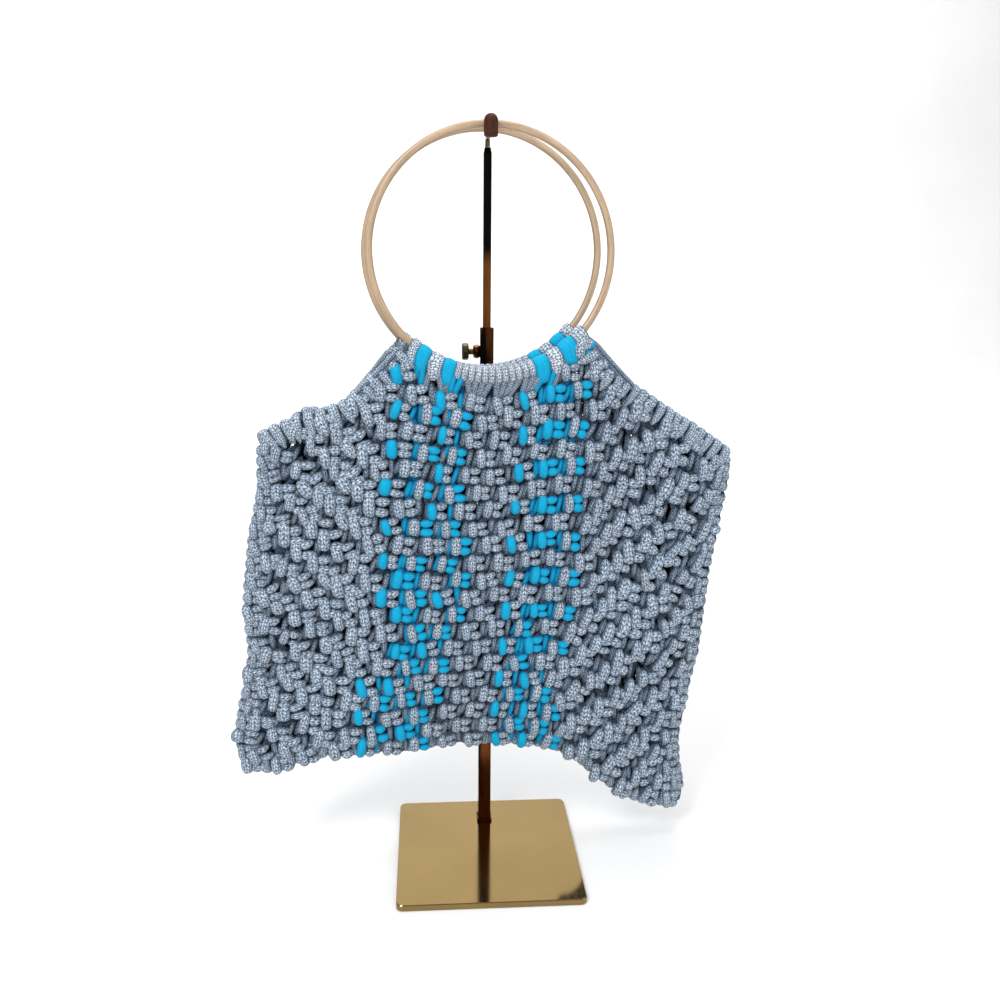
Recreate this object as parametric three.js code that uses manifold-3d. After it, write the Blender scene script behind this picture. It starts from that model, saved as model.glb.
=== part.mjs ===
// A bag of knotted cord with two round wooden handles, hanging on the hook of a brass display stand.
// Millimetres, +Z up, the bag's front towards -Y.
// The origin is the centre of the underside of the stand's plate.
import * as THREE from 'three';
import { mergeVertices } from 'three/addons/utils/BufferGeometryUtils.js';
import Module from 'manifold-3d';

const wasm = await Module();
wasm.setup();

// Driving dimensions

// Gap between pieces that touch on the real thing.
const SEAT_GAP = 0.3;

// Stand: square plate.
const PLATE_SIDE = 140;
const PLATE_THICKNESS = 5;
const PLATE_CORNER_RADIUS = 5;
const PLATE_EDGE_BEVEL = 0.7;

// Stand: square tube near the plate's rear edge.
const POST_FROM_REAR_EDGE = 26.8;
const POST_SIDE = 10;
const POST_HEIGHT = 404.5;
const POST_FOOT_SIDE = 12;
const POST_FOOT_HEIGHT = 2;

// Stand: rod that slides in the tube.
const ROD_SIDE = 5.8;
const ROD_EXPOSED = 122;
const ROD_INSIDE_TUBE = 110;
const ROD_TIP_SIDE = 4.2;
const ROD_TIP_HEIGHT = 4;

// Stand: clamping screw on the tube's left side, with a round boss soldered to the tube.
const SCREW_BELOW_TUBE_TOP = 17.8;
const SCREW_SHAFT_RADIUS = 2.3;
const SCREW_KNOB_RADIUS = 6.3;
const SCREW_KNOB_THICKNESS = 5;
const SCREW_KNOB_CHAMFER = 0.9;
const SCREW_NECK_LENGTH = 3.3;
const BOSS_RADIUS = 5.2;
const BOSS_LENGTH = 5;
const BOSS_CHAMFER = 1.2;

// Stand: bent wire hook and the cap on its front end.
const HOOK_WIRE_RADIUS = 1.8;
const HOOK_BEND_RADIUS = 5;
const HOOK_RISE = 6;
const HOOK_CLIMB_PER_LENGTH = 1 / 18;
const CAP_FROM_POST = 38.9;
const CAP_RADIUS = 4.85;
const CAP_HEIGHT = 15.4;
const CAP_BELOW_WIRE = 5.6;
const CAP_BOTTOM_ROUNDING = 1.6;
const CAP_SOCKET_DEPTH = 5;

// Handles: two equal wooden hoops. A lean tips the hoop's bottom forward, and a turn swings its
// right side back.
const HOOP_OUTER_RADIUS = 86.8;
const HOOP_WOOD_RADIUS = 2.4;
const CORD_WRAP_THICKNESS = 3.4;
const HOOPS = {
  front: { fromPost: 31.2, across: 0.4, leanDegrees: 4.5, turnDegrees: -2 },
  rear: { fromPost: 13.2, across: -1.5, leanDegrees: 0.5, turnDegrees: 2 },
};

// Cord wraps on the hoops, left to right, in degrees round each hoop from its lowest point.
const WRAPS = {
  front: [
    { from: -45.4, to: -38.1, cord: 'grey' },
    { from: -38.1, to: -31.6, cord: 'turquoise' },
    { from: -31.6, to: -24.5, cord: 'grey' },
    { from: -24.5, to: -18.2, cord: 'turquoise' },
    { from: -18.2, to: 20.7, cord: 'grey' },
    { from: 20.7, to: 28.1, cord: 'turquoise' },
    { from: 28.1, to: 35.2, cord: 'grey' },
    { from: 35.2, to: 43.9, cord: 'turquoise' },
    { from: 43.9, to: 50.8, cord: 'grey' },
  ],
  rear: [
    { from: -46.5, to: -40.0, cord: 'grey' },
    { from: -40.0, to: -33.0, cord: 'turquoise' },
    { from: -33.0, to: -26.0, cord: 'grey' },
    { from: -26.0, to: -19.0, cord: 'turquoise' },
    { from: -19.0, to: 24.0, cord: 'grey' },
    { from: 24.0, to: 31.0, cord: 'turquoise' },
    { from: 31.0, to: 38.0, cord: 'grey' },
    { from: 38.0, to: 45.5, cord: 'turquoise' },
    { from: 45.5, to: 51.5, cord: 'grey' },
  ],
};

// Bag: knotted panels, hanging in a plane turned a little about the upright.
const BAG_TURN_DEGREES = 6;
const BAG_MIDDLE_FROM_POST = 29.2;
const PANEL_WALL = 9;
const BAG_TOP_WIDTH = 350;
const BAG_BOTTOM_WIDTH = 345;
const BAG_TOP_SHIFT = 11;
const BAG_BOTTOM_SHIFT = -10.5;
const BAG_DROP = 285.5;
const SHOULDER_DROP_LEFT = 62;
const SHOULDER_DROP_RIGHT = 87;
const BOTTOM_SAG = 67;
const BAG_HALF_DEPTH = 15.5;
const FOLD_DEPTH = 9;

// Shoulders, from the end of the wraps (out 0) to the bag's top corner (out 1): share of that side's
// shoulder drop, and what the rear panel's shoulder drops more than the front's.
const SHOULDERS = [
  { out: 0.0, left: 0.0, right: 0.0, rearLeft: 0.0, rearRight: 0.0 },
  { out: 0.08, left: 0.17, right: 0.222, rearLeft: 0.11, rearRight: 0.02 },
  { out: 0.16, left: 0.26, right: 0.285, rearLeft: 0.12, rearRight: 0.02 },
  { out: 0.25, left: 0.395, right: 0.355, rearLeft: 0.12, rearRight: 0.01 },
  { out: 0.4, left: 0.61, right: 0.487, rearLeft: 0.1, rearRight: 0.01 },
  { out: 0.52, left: 0.69, right: 0.59, rearLeft: 0.04, rearRight: 0.01 },
  { out: 0.65, left: 0.76, right: 0.695, rearLeft: -0.05, rearRight: 0.01 },
  { out: 0.74, left: 0.8, right: 0.765, rearLeft: 0.0, rearRight: 0.01 },
  { out: 0.81, left: 0.83, right: 0.825, rearLeft: 0.06, rearRight: 0.01 },
  { out: 0.95, left: 0.93, right: 0.955, rearLeft: 0.04, rearRight: 0.0 },
  { out: 1.0, left: 1.0, right: 1.0, rearLeft: 0.0, rearRight: 0.0 },
];

// Bottom edge, from the left corner (along 0) to the right one (along 1): share of the bottom sag.
const BOTTOM_EDGE = [
  { along: 0.0, drop: 0.05 },
  { along: 0.03, drop: 0.14 },
  { along: 0.07, drop: 0.125 },
  { along: 0.12, drop: 0.03 },
  { along: 0.17, drop: -0.01 },
  { along: 0.33, drop: 0.01 },
  { along: 0.46, drop: -0.06 },
  { along: 0.57, drop: -0.01 },
  { along: 0.67, drop: 0.08 },
  { along: 0.73, drop: 0.24 },
  { along: 0.77, drop: 0.43 },
  { along: 0.82, drop: 0.67 },
  { along: 0.88, drop: 0.885 },
  { along: 0.94, drop: 1.0 },
  { along: 1.0, drop: 0.93 },
];

// Side edges, from the bottom (up 0) to the top corner (up 1): how far each bulges out, in top widths.
const SIDE_EDGES = [
  { up: 0.0, left: 0.0, right: 0.0 },
  { up: 0.05, left: 0.02, right: 0.006 },
  { up: 0.1, left: 0.03, right: -0.009 },
  { up: 0.19, left: 0.024, right: -0.025 },
  { up: 0.27, left: 0.014, right: -0.022 },
  { up: 0.36, left: 0.006, right: -0.016 },
  { up: 0.44, left: 0.014, right: -0.006 },
  { up: 0.53, left: 0.02, right: -0.006 },
  { up: 0.69, left: 0.013, right: -0.006 },
  { up: 0.85, left: -0.004, right: 0.003 },
  { up: 0.93, left: 0.0, right: 0.009 },
  { up: 1.0, left: 0.0, right: 0.0 },
];

// Fullness across the bag, from side seam to side seam, in half depths.
const FULLNESS_ACROSS = [
  { along: 0.0, front: 0.0, rear: 0.0 },
  { along: 0.06, front: 0.22, rear: 0.2 },
  { along: 0.2, front: 0.6, rear: 0.55 },
  { along: 0.33, front: 0.95, rear: 0.9 },
  { along: 0.5, front: 1.0, rear: 1.0 },
  { along: 0.68, front: 1.0, rear: 0.95 },
  { along: 0.82, front: 0.8, rear: 0.65 },
  { along: 0.94, front: 0.3, rear: 0.22 },
  { along: 1.0, front: 0.0, rear: 0.0 },
];

// Fullness up the bag, from the bottom seam to the mouth, in half depths.
const FULLNESS_UP = [
  { up: 0.0, share: 0.0 },
  { up: 0.05, share: 0.42 },
  { up: 0.14, share: 0.8 },
  { up: 0.32, share: 1.0 },
  { up: 0.75, share: 1.05 },
  { up: 1.0, share: 1.0 },
];

// Upright folds in the front panel, along a line from `bottomAt` to `topAt`. The cloth steps back over
// `width` to the right (side 1) or the left (side -1) of the line and comes forward again over
// `recovery`. These are shares of the bag's width. The fold shows from `from` up, and in full at `full`.
const FOLDS = [
  {
    bottomAt: 0.72, topAt: 0.69, side: 1, width: 0.055, recovery: 0.2, depth: 1.0, from: 0.3, full: 0.62,
  },
  {
    bottomAt: 0.26, topAt: 0.29, side: -1, width: 0.08, recovery: 0.16, depth: 0.35, from: 0.4, full: 0.75,
  },
];

// Share of the height from which a panel leans in or out to meet its hoop's wraps.
const LEAN_TO_HOOP_FROM = 0.78;

// How finely the surfaces are cut into faces.
const PLATE_CORNER_STEPS = 6;
const ROUND_SIDES = 16;
const DOME_STEPS = 5;
const HOOK_STEPS = 24;
const WIRE_SIDES = 10;
const HOOP_SIDES = 10;
const HOOP_STEPS = 56;
const WRAP_SIDES = 12;
const WRAP_STEP_DEGREES = 7;
const PANEL_COLUMNS = { left: 10, middle: 12, right: 11 };
const PANEL_ROWS = 20;

// Rounds of the sum that finds the place on a leaning, turned hoop above a point of the panel.
const SEAT_ROUNDS = 3;

const COLOURS = {
  brass: { color: 0xb0935a, roughness: 0.22, metalness: 1 },
  darkBrass: { color: 0x4a2c18, roughness: 0.25, metalness: 1 },
  screwBrass: { color: 0x6a5a34, roughness: 0.35, metalness: 1 },
  cap: { color: 0x3a1a12, roughness: 0.4, metalness: 0 },
  wood: { color: 0xd2b48c, roughness: 0.55, metalness: 0 },
  grey: { color: 0x8d9bab, roughness: 0.9, metalness: 0 },
  turquoise: { color: 0x00b4e6, roughness: 0.8, metalness: 0 },
};

// Worked-out places

const postY = PLATE_SIDE / 2 - POST_FROM_REAR_EDGE;
const postBottom = PLATE_THICKNESS + SEAT_GAP;
const postTop = postBottom + POST_HEIGHT;
const rodTop = postTop + ROD_EXPOSED;
const rodTipTop = rodTop + ROD_TIP_HEIGHT;
const hookStart = rodTipTop + SEAT_GAP;
const hookAtPost = hookStart + HOOK_RISE;
const hoopLineRadius = HOOP_OUTER_RADIUS - HOOP_WOOD_RADIUS;
const boreRadius = (HOOP_WOOD_RADIUS + SEAT_GAP) / Math.cos(Math.PI / WRAP_SIDES);
const wrapRadius = HOOP_WOOD_RADIUS + SEAT_GAP + CORD_WRAP_THICKNESS;
const seamOffset = (PANEL_WALL + SEAT_GAP) / 2;
const bagMiddleY = postY - BAG_MIDDLE_FROM_POST;

// Height of the middle of the hook's wire, at a distance forward of the post.
function hookWireHeight(fromPost) {
  return hookAtPost + fromPost * HOOK_CLIMB_PER_LENGTH;
}

// Small helpers

function degrees(angle) {
  return THREE.MathUtils.degToRad(angle);
}

function smooth(low, high, value) {
  return THREE.MathUtils.smoothstep(value, low, high);
}

// A column of a table, read between its rows.
function readTable(table, key, column, place) {
  let row = 1;
  while (row < table.length - 1 && table[row][key] < place) {
    row += 1;
  }
  const before = table[row - 1];
  const after = table[row];
  const share = THREE.MathUtils.clamp((place - before[key]) / (after[key] - before[key]), 0, 1);
  return THREE.MathUtils.lerp(before[column], after[column], share);
}

function mesh(name, geometry, look) {
  const piece = new THREE.Mesh(geometry, new THREE.MeshStandardMaterial(look));
  piece.name = name;
  return piece;
}

// A closed geometry as a solid that can be joined and cut.
function toSolid(geometry) {
  const bare = geometry.clone();
  bare.deleteAttribute('normal');
  bare.deleteAttribute('uv');
  const welded = mergeVertices(bare, 1e-4);
  const vertProperties = new Float32Array(welded.attributes.position.array);
  const triVerts = new Uint32Array(welded.index.array);
  return new wasm.Manifold(new wasm.Mesh({ numProp: 3, vertProperties, triVerts }));
}

function fromSolid(solid) {
  const { vertProperties, triVerts } = solid.getMesh();
  const geometry = new THREE.BufferGeometry();
  geometry.setAttribute('position', new THREE.BufferAttribute(new Float32Array(vertProperties), 3));
  geometry.setIndex(new THREE.BufferAttribute(new Uint32Array(triVerts), 1));
  return geometry;
}

function squareShape(side) {
  const half = side / 2;
  return new THREE.Shape([
    new THREE.Vector2(-half, -half),
    new THREE.Vector2(half, -half),
    new THREE.Vector2(half, half),
    new THREE.Vector2(-half, half),
  ]);
}

function roundedSquareShape(side, radius) {
  const inner = side / 2 - radius;
  const shape = new THREE.Shape();
  shape.absarc(inner, inner, radius, 0, Math.PI / 2);
  shape.absarc(-inner, inner, radius, Math.PI / 2, Math.PI);
  shape.absarc(-inner, -inner, radius, Math.PI, Math.PI * 1.5);
  shape.absarc(inner, -inner, radius, Math.PI * 1.5, Math.PI * 2);
  shape.closePath();
  return shape;
}

// A turned piece lying along X. Profile points are [distance along X, radius], from tip to tip.
function turnedAlongX(profile) {
  const points = profile.map(([along, radius]) => new THREE.Vector2(radius, along));
  const geometry = new THREE.LatheGeometry(points, ROUND_SIDES);
  geometry.rotateZ(-Math.PI / 2);
  return geometry;
}

// Stand

function makePlate() {
  const inset = PLATE_EDGE_BEVEL;
  const shape = roundedSquareShape(PLATE_SIDE - 2 * inset, PLATE_CORNER_RADIUS - inset);
  const geometry = new THREE.ExtrudeGeometry(shape, {
    depth: PLATE_THICKNESS - 2 * inset,
    bevelEnabled: true,
    bevelThickness: inset,
    bevelSize: inset,
    bevelSegments: 1,
    curveSegments: PLATE_CORNER_STEPS,
  });
  geometry.translate(0, 0, inset);
  return mesh('base_plate', geometry, COLOURS.brass);
}

function makePostTube() {
  const tubeShape = squareShape(POST_SIDE);
  tubeShape.holes.push(squareShape(ROD_SIDE + 2 * SEAT_GAP));
  const tube = new THREE.ExtrudeGeometry(tubeShape, { depth: POST_HEIGHT, bevelEnabled: false });
  const footShape = squareShape(POST_FOOT_SIDE);
  footShape.holes.push(squareShape((POST_SIDE + ROD_SIDE) / 2));
  const foot = new THREE.ExtrudeGeometry(footShape, { depth: POST_FOOT_HEIGHT, bevelEnabled: false });

  const bossOuter = -POST_SIDE / 2 - BOSS_LENGTH;
  const bossInner = -(POST_SIDE + ROD_SIDE) / 4;
  const boss = turnedAlongX([
    [bossOuter, 0],
    [bossOuter, BOSS_RADIUS - BOSS_CHAMFER],
    [bossOuter + BOSS_CHAMFER, BOSS_RADIUS],
    [-POST_SIDE / 2 - BOSS_CHAMFER, BOSS_RADIUS],
    [-POST_SIDE / 2, BOSS_RADIUS - BOSS_CHAMFER],
    [bossInner, SCREW_SHAFT_RADIUS + BOSS_CHAMFER],
    [bossInner, 0],
  ]);
  const bore = (SCREW_SHAFT_RADIUS + SEAT_GAP) / Math.cos(Math.PI / ROUND_SIDES);
  const drill = turnedAlongX([
    [bossOuter - BOSS_LENGTH, 0],
    [bossOuter - BOSS_LENGTH, bore],
    [0, bore],
    [0, 0],
  ]);
  const screwHeight = POST_HEIGHT - SCREW_BELOW_TUBE_TOP;
  boss.translate(0, 0, screwHeight);
  drill.translate(0, 0, screwHeight);

  const solid = toSolid(tube).add(toSolid(foot)).add(toSolid(boss)).subtract(toSolid(drill));
  const piece = mesh('post_tube', fromSolid(solid), COLOURS.darkBrass);
  piece.position.set(0, postY, postBottom);
  return piece;
}

function makeThumbScrew() {
  const tip = -ROD_SIDE / 2 - SEAT_GAP;
  const knobInner = -POST_SIDE / 2 - BOSS_LENGTH - SCREW_NECK_LENGTH;
  const knobOuter = knobInner - SCREW_KNOB_THICKNESS;
  const geometry = turnedAlongX([
    [knobOuter, 0],
    [knobOuter, SCREW_KNOB_RADIUS - SCREW_KNOB_CHAMFER],
    [knobOuter + SCREW_KNOB_CHAMFER, SCREW_KNOB_RADIUS],
    [knobInner - SCREW_KNOB_CHAMFER, SCREW_KNOB_RADIUS],
    [knobInner, SCREW_KNOB_RADIUS - SCREW_KNOB_CHAMFER],
    [knobInner, SCREW_SHAFT_RADIUS],
    [tip, SCREW_SHAFT_RADIUS],
    [tip, 0],
  ]);
  const piece = mesh('thumb_screw', geometry, COLOURS.screwBrass);
  piece.position.set(0, postY, postTop - SCREW_BELOW_TUBE_TOP);
  return piece;
}

function makeInnerRod() {
  const length = ROD_INSIDE_TUBE + ROD_EXPOSED;
  const bar = new THREE.BoxGeometry(ROD_SIDE, ROD_SIDE, length);
  bar.translate(0, 0, length / 2);
  const cornerShare = Math.SQRT1_2;
  const tipRadius = ROD_TIP_SIDE * cornerShare;
  const tip = new THREE.CylinderGeometry(tipRadius, ROD_SIDE * cornerShare, ROD_TIP_HEIGHT, 4);
  tip.rotateY(Math.PI / 4);
  tip.rotateX(Math.PI / 2);
  tip.translate(0, 0, length + ROD_TIP_HEIGHT / 2);
  const piece = mesh('inner_rod', fromSolid(toSolid(bar).add(toSolid(tip))), COLOURS.darkBrass);
  piece.position.set(0, postY, postTop - ROD_INSIDE_TUBE);
  return piece;
}

function makeHook() {
  const reach = CAP_FROM_POST - CAP_RADIUS + CAP_SOCKET_DEPTH - SEAT_GAP;
  const bendEnd = HOOK_BEND_RADIUS;
  const path = new THREE.CurvePath();
  const start = new THREE.Vector3(0, 0, hookStart);
  const bendStart = new THREE.Vector3(0, 0, hookAtPost - HOOK_BEND_RADIUS);
  const corner = new THREE.Vector3(0, 0, hookWireHeight(0));
  const bendFinish = new THREE.Vector3(0, -bendEnd, hookWireHeight(bendEnd));
  const end = new THREE.Vector3(0, -reach, hookWireHeight(reach));
  path.add(new THREE.LineCurve3(start, bendStart));
  path.add(new THREE.QuadraticBezierCurve3(bendStart, corner, bendFinish));
  path.add(new THREE.LineCurve3(bendFinish, end));
  const section = new THREE.Shape();
  section.absarc(0, 0, HOOK_WIRE_RADIUS, 0, Math.PI * 2);
  const geometry = new THREE.ExtrudeGeometry(section, {
    steps: HOOK_STEPS,
    curveSegments: WIRE_SIDES / 2,
    extrudePath: path,
  });
  const piece = mesh('hook', geometry, COLOURS.darkBrass);
  piece.position.set(0, postY, 0);
  return piece;
}

function makeHookCap() {
  const bottom = hookWireHeight(CAP_FROM_POST) - CAP_BELOW_WIRE;
  const wallTop = CAP_HEIGHT - CAP_RADIUS;
  const cut = CAP_BOTTOM_ROUNDING * (1 - Math.SQRT1_2);
  const points = [
    new THREE.Vector2(0, 0),
    new THREE.Vector2(CAP_RADIUS - CAP_BOTTOM_ROUNDING, 0),
    new THREE.Vector2(CAP_RADIUS - cut, cut),
    new THREE.Vector2(CAP_RADIUS, CAP_BOTTOM_ROUNDING),
  ];
  for (let step = 0; step < DOME_STEPS; step += 1) {
    const angle = (step / DOME_STEPS) * (Math.PI / 2);
    points.push(new THREE.Vector2(CAP_RADIUS * Math.cos(angle), wallTop + CAP_RADIUS * Math.sin(angle)));
  }
  points.push(new THREE.Vector2(0, CAP_HEIGHT));
  const body = new THREE.LatheGeometry(points, ROUND_SIDES);
  body.rotateX(Math.PI / 2);
  const socketRadius = (HOOK_WIRE_RADIUS + SEAT_GAP) / Math.cos(Math.PI / ROUND_SIDES);
  const socketLength = CAP_SOCKET_DEPTH * 2;
  const socket = new THREE.CylinderGeometry(socketRadius, socketRadius, socketLength, ROUND_SIDES);
  socket.rotateX(-Math.atan(HOOK_CLIMB_PER_LENGTH));
  socket.translate(0, CAP_RADIUS - CAP_SOCKET_DEPTH + socketLength / 2, CAP_BELOW_WIRE);
  const piece = mesh('hook_cap', fromSolid(toSolid(body).subtract(toSolid(socket))), COLOURS.cap);
  piece.position.set(0, postY - CAP_FROM_POST, bottom);
  return piece;
}

// Bag. Its pieces are placed from the upright line through the middle of the bag.

// The hoop's place: its local origin is the middle of the wood at the hoop's top, and it lies in XZ.
function hoopPlacement(side) {
  const { fromPost, across, leanDegrees, turnDegrees } = HOOPS[side];
  const seat = hookWireHeight(fromPost) + HOOK_WIRE_RADIUS + SEAT_GAP;
  const place = new THREE.Object3D();
  place.rotation.order = 'ZXY';
  place.rotation.set(-degrees(leanDegrees), 0, degrees(turnDegrees));
  place.position.set(across, BAG_MIDDLE_FROM_POST - fromPost, seat + HOOP_WOOD_RADIUS);
  place.updateMatrix();
  return place;
}

// A point at an angle from the hoop's lowest point and a distance from the hoop's centre.
function hoopPoint(side, angleDegrees, radius) {
  const angle = degrees(angleDegrees);
  const local = new THREE.Vector3(radius * Math.sin(angle), 0, -hoopLineRadius - radius * Math.cos(angle));
  return local.applyMatrix4(hoopPlacement(side).matrix);
}

function makeHoop(side) {
  const geometry = new THREE.TorusGeometry(hoopLineRadius, HOOP_WOOD_RADIUS, HOOP_SIDES, HOOP_STEPS);
  geometry.rotateX(Math.PI / 2);
  geometry.translate(0, 0, -hoopLineRadius);
  const piece = mesh(`hoop_${side}`, geometry, COLOURS.wood);
  const place = hoopPlacement(side);
  piece.rotation.copy(place.rotation);
  piece.position.copy(place.position);
  return piece;
}

// A stretch of the hoop's centre line, for the cords that are wound round it.
class HoopArc extends THREE.Curve {
  constructor(fromDegrees, toDegrees) {
    super();
    this.fromDegrees = fromDegrees;
    this.toDegrees = toDegrees;
  }

  getPoint(share, target = new THREE.Vector3()) {
    const angle = degrees(THREE.MathUtils.lerp(this.fromDegrees, this.toDegrees, share));
    return target.set(hoopLineRadius * Math.sin(angle), 0, -hoopLineRadius * (1 + Math.cos(angle)));
  }
}

function makeWraps(side) {
  const halfGapDegrees = THREE.MathUtils.radToDeg(SEAT_GAP / 2 / (hoopLineRadius - wrapRadius));
  const section = new THREE.Shape();
  section.absarc(0, 0, wrapRadius, 0, Math.PI * 2);
  const bore = new THREE.Path();
  bore.absarc(0, 0, boreRadius, 0, Math.PI * 2, true);
  section.holes.push(bore);
  const place = hoopPlacement(side);
  return WRAPS[side].map(({ from, to, cord }, index) => {
    const geometry = new THREE.ExtrudeGeometry(section, {
      steps: Math.max(1, Math.round((to - from) / WRAP_STEP_DEGREES)),
      curveSegments: WRAP_SIDES / 2,
      extrudePath: new HoopArc(from + halfGapDegrees, to - halfGapDegrees),
    });
    const piece = mesh(`wrap_${side}_${index + 1}`, geometry, COLOURS[cord]);
    piece.rotation.copy(place.rotation);
    piece.position.copy(place.position);
    return piece;
  });
}

// The ends of a hoop's wraps, in degrees round the hoop.
function wrapSpan(side) {
  const wraps = WRAPS[side];
  return { from: wraps[0].from, to: wraps[wraps.length - 1].to };
}

// Distance from the hoop's centre to the panel's top edge, whose straight stretches clear the wraps.
function seatRadius(side) {
  const { from, to } = wrapSpan(side);
  const halfStep = degrees(to - from) / PANEL_COLUMNS.middle / 2;
  return (hoopLineRadius + wrapRadius + SEAT_GAP) / Math.cos(halfStep);
}

// Share of the bag's width at which an upright line through a place on the hoop meets the top edge.
function shareAtAngle(side, angleDegrees) {
  return 0.5 + (hoopPoint(side, angleDegrees, seatRadius(side)).x - BAG_TOP_SHIFT) / BAG_TOP_WIDTH;
}

// The top edge of a panel at a share of the bag's width: under the wraps it follows the hoop, and
// beyond them it drops along the shoulders to the corners.
function topEdge(side, along) {
  const { from, to } = wrapSpan(side);
  const radius = seatRadius(side);
  const leftEnd = hoopPoint(side, from, radius);
  const rightEnd = hoopPoint(side, to, radius);
  const x = BAG_TOP_SHIFT + (along - 0.5) * BAG_TOP_WIDTH;
  if (x >= leftEnd.x && x <= rightEnd.x) {
    const { across, leanDegrees, turnDegrees } = HOOPS[side];
    const lean = Math.sin(degrees(leanDegrees)) * Math.sin(degrees(turnDegrees));
    let angle = 0;
    for (let round = 0; round < SEAT_ROUNDS; round += 1) {
      const drop = hoopLineRadius + radius * Math.cos(angle);
      const flat = (x - across - drop * lean) / Math.cos(degrees(turnDegrees));
      angle = Math.asin(THREE.MathUtils.clamp(flat / radius, -1, 1));
    }
    return hoopPoint(side, THREE.MathUtils.radToDeg(angle), radius);
  }
  const isLeft = x < leftEnd.x;
  const end = isLeft ? leftEnd : rightEnd;
  const frontSpan = wrapSpan('front');
  const frontEnd = hoopPoint('front', isLeft ? frontSpan.from : frontSpan.to, seatRadius('front'));
  const corner = BAG_TOP_SHIFT + (isLeft ? -0.5 : 0.5) * BAG_TOP_WIDTH;
  const cornerHeight = frontEnd.z - (isLeft ? SHOULDER_DROP_LEFT : SHOULDER_DROP_RIGHT);
  const out = (x - end.x) / (corner - end.x);
  let drop = readTable(SHOULDERS, 'out', isLeft ? 'left' : 'right', out);
  if (side === 'rear') {
    drop += readTable(SHOULDERS, 'out', isLeft ? 'rearLeft' : 'rearRight', out);
  }
  const z = THREE.MathUtils.lerp(end.z, cornerHeight, drop);
  const sign = side === 'front' ? -1 : 1;
  const y = THREE.MathUtils.lerp(end.y, sign * seamOffset, smooth(0, 1, out));
  return new THREE.Vector3(x, y, z);
}

function bottomEdge(along) {
  const x = BAG_BOTTOM_SHIFT + (along - 0.5) * BAG_BOTTOM_WIDTH;
  const bottom = topEdge('front', 0.5 - BAG_TOP_SHIFT / BAG_TOP_WIDTH).z - BAG_DROP;
  return new THREE.Vector3(x, 0, bottom - BOTTOM_SAG * readTable(BOTTOM_EDGE, 'along', 'drop', along));
}

// How far a fold sets the front panel back at a place, in fold depths.
function foldShare(fold, along, up) {
  const line = THREE.MathUtils.lerp(fold.bottomAt, fold.topAt, up);
  const past = (along - line) * fold.side;
  const step = smooth(0, fold.width, past);
  const recovery = 1 - smooth(fold.width, fold.width + fold.recovery, past);
  return fold.depth * step * recovery * smooth(fold.from, fold.full, up);
}

// The middle of a panel's wall, at a share of the way across and up.
function panelMiddle(side, along, up) {
  const bottom = bottomEdge(along);
  const top = topEdge(side, along);
  const bulgeLeft = readTable(SIDE_EDGES, 'up', 'left', up) * (1 - along) ** 2;
  const bulgeRight = readTable(SIDE_EDGES, 'up', 'right', up) * along ** 2;
  const x = THREE.MathUtils.lerp(bottom.x, top.x, up) + (bulgeRight - bulgeLeft) * BAG_TOP_WIDTH;
  const z = THREE.MathUtils.lerp(bottom.z, top.z, up);

  const sign = side === 'front' ? -1 : 1;
  const across = readTable(FULLNESS_ACROSS, 'along', side, along);
  const fullness = across * readTable(FULLNESS_UP, 'up', 'share', up);
  let offset = seamOffset + (BAG_HALF_DEPTH - seamOffset) * fullness;
  if (side === 'front') {
    offset -= FOLD_DEPTH * FOLDS.reduce((sum, fold) => sum + foldShare(fold, along, up), 0);
    offset = Math.max(offset, seamOffset);
  }
  const y = THREE.MathUtils.lerp(sign * offset, top.y, smooth(LEAN_TO_HOOP_FROM, 1, up));
  return new THREE.Vector3(x, y, z);
}

// Shares of the width at which a panel's columns stand, at even steps round the hoop under the wraps.
function columnShares(side) {
  const { from, to } = wrapSpan(side);
  const { left, middle, right } = PANEL_COLUMNS;
  const leftEnd = shareAtAngle(side, from);
  const rightEnd = shareAtAngle(side, to);
  const shares = [];
  for (let step = 0; step < left; step += 1) {
    shares.push(THREE.MathUtils.lerp(0, leftEnd, step / left));
  }
  for (let step = 0; step < middle; step += 1) {
    shares.push(shareAtAngle(side, THREE.MathUtils.lerp(from, to, step / middle)));
  }
  for (let step = 0; step <= right; step += 1) {
    shares.push(THREE.MathUtils.lerp(rightEnd, 1, step / right));
  }
  return shares;
}

// A closed wall between two faces of equal grids, the first face in front.
function wallBetween(frontFace, backFace, columns, rows) {
  const positions = [...frontFace, ...backFace].flatMap((point) => [point.x, point.y, point.z]);
  const backStart = (columns + 1) * (rows + 1);
  const at = (column, row) => row * (columns + 1) + column;
  const triangles = [];
  const addQuad = (a, b, c, d) => triangles.push(a, b, c, a, c, d);
  for (let row = 0; row < rows; row += 1) {
    for (let column = 0; column < columns; column += 1) {
      const a = at(column, row);
      const b = at(column + 1, row);
      const c = at(column + 1, row + 1);
      const d = at(column, row + 1);
      addQuad(a, b, c, d);
      addQuad(backStart + a, backStart + d, backStart + c, backStart + b);
    }
  }
  for (let column = 0; column < columns; column += 1) {
    const low = at(column, 0);
    const lowNext = at(column + 1, 0);
    const high = at(column, rows);
    const highNext = at(column + 1, rows);
    addQuad(low, backStart + low, backStart + lowNext, lowNext);
    addQuad(high, highNext, backStart + highNext, backStart + high);
  }
  for (let row = 0; row < rows; row += 1) {
    const left = at(0, row);
    const leftNext = at(0, row + 1);
    const right = at(columns, row);
    const rightNext = at(columns, row + 1);
    addQuad(left, leftNext, backStart + leftNext, backStart + left);
    addQuad(right, backStart + right, backStart + rightNext, rightNext);
  }
  const geometry = new THREE.BufferGeometry();
  geometry.setAttribute('position', new THREE.Float32BufferAttribute(positions, 3));
  geometry.setIndex(triangles);
  return geometry;
}

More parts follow.
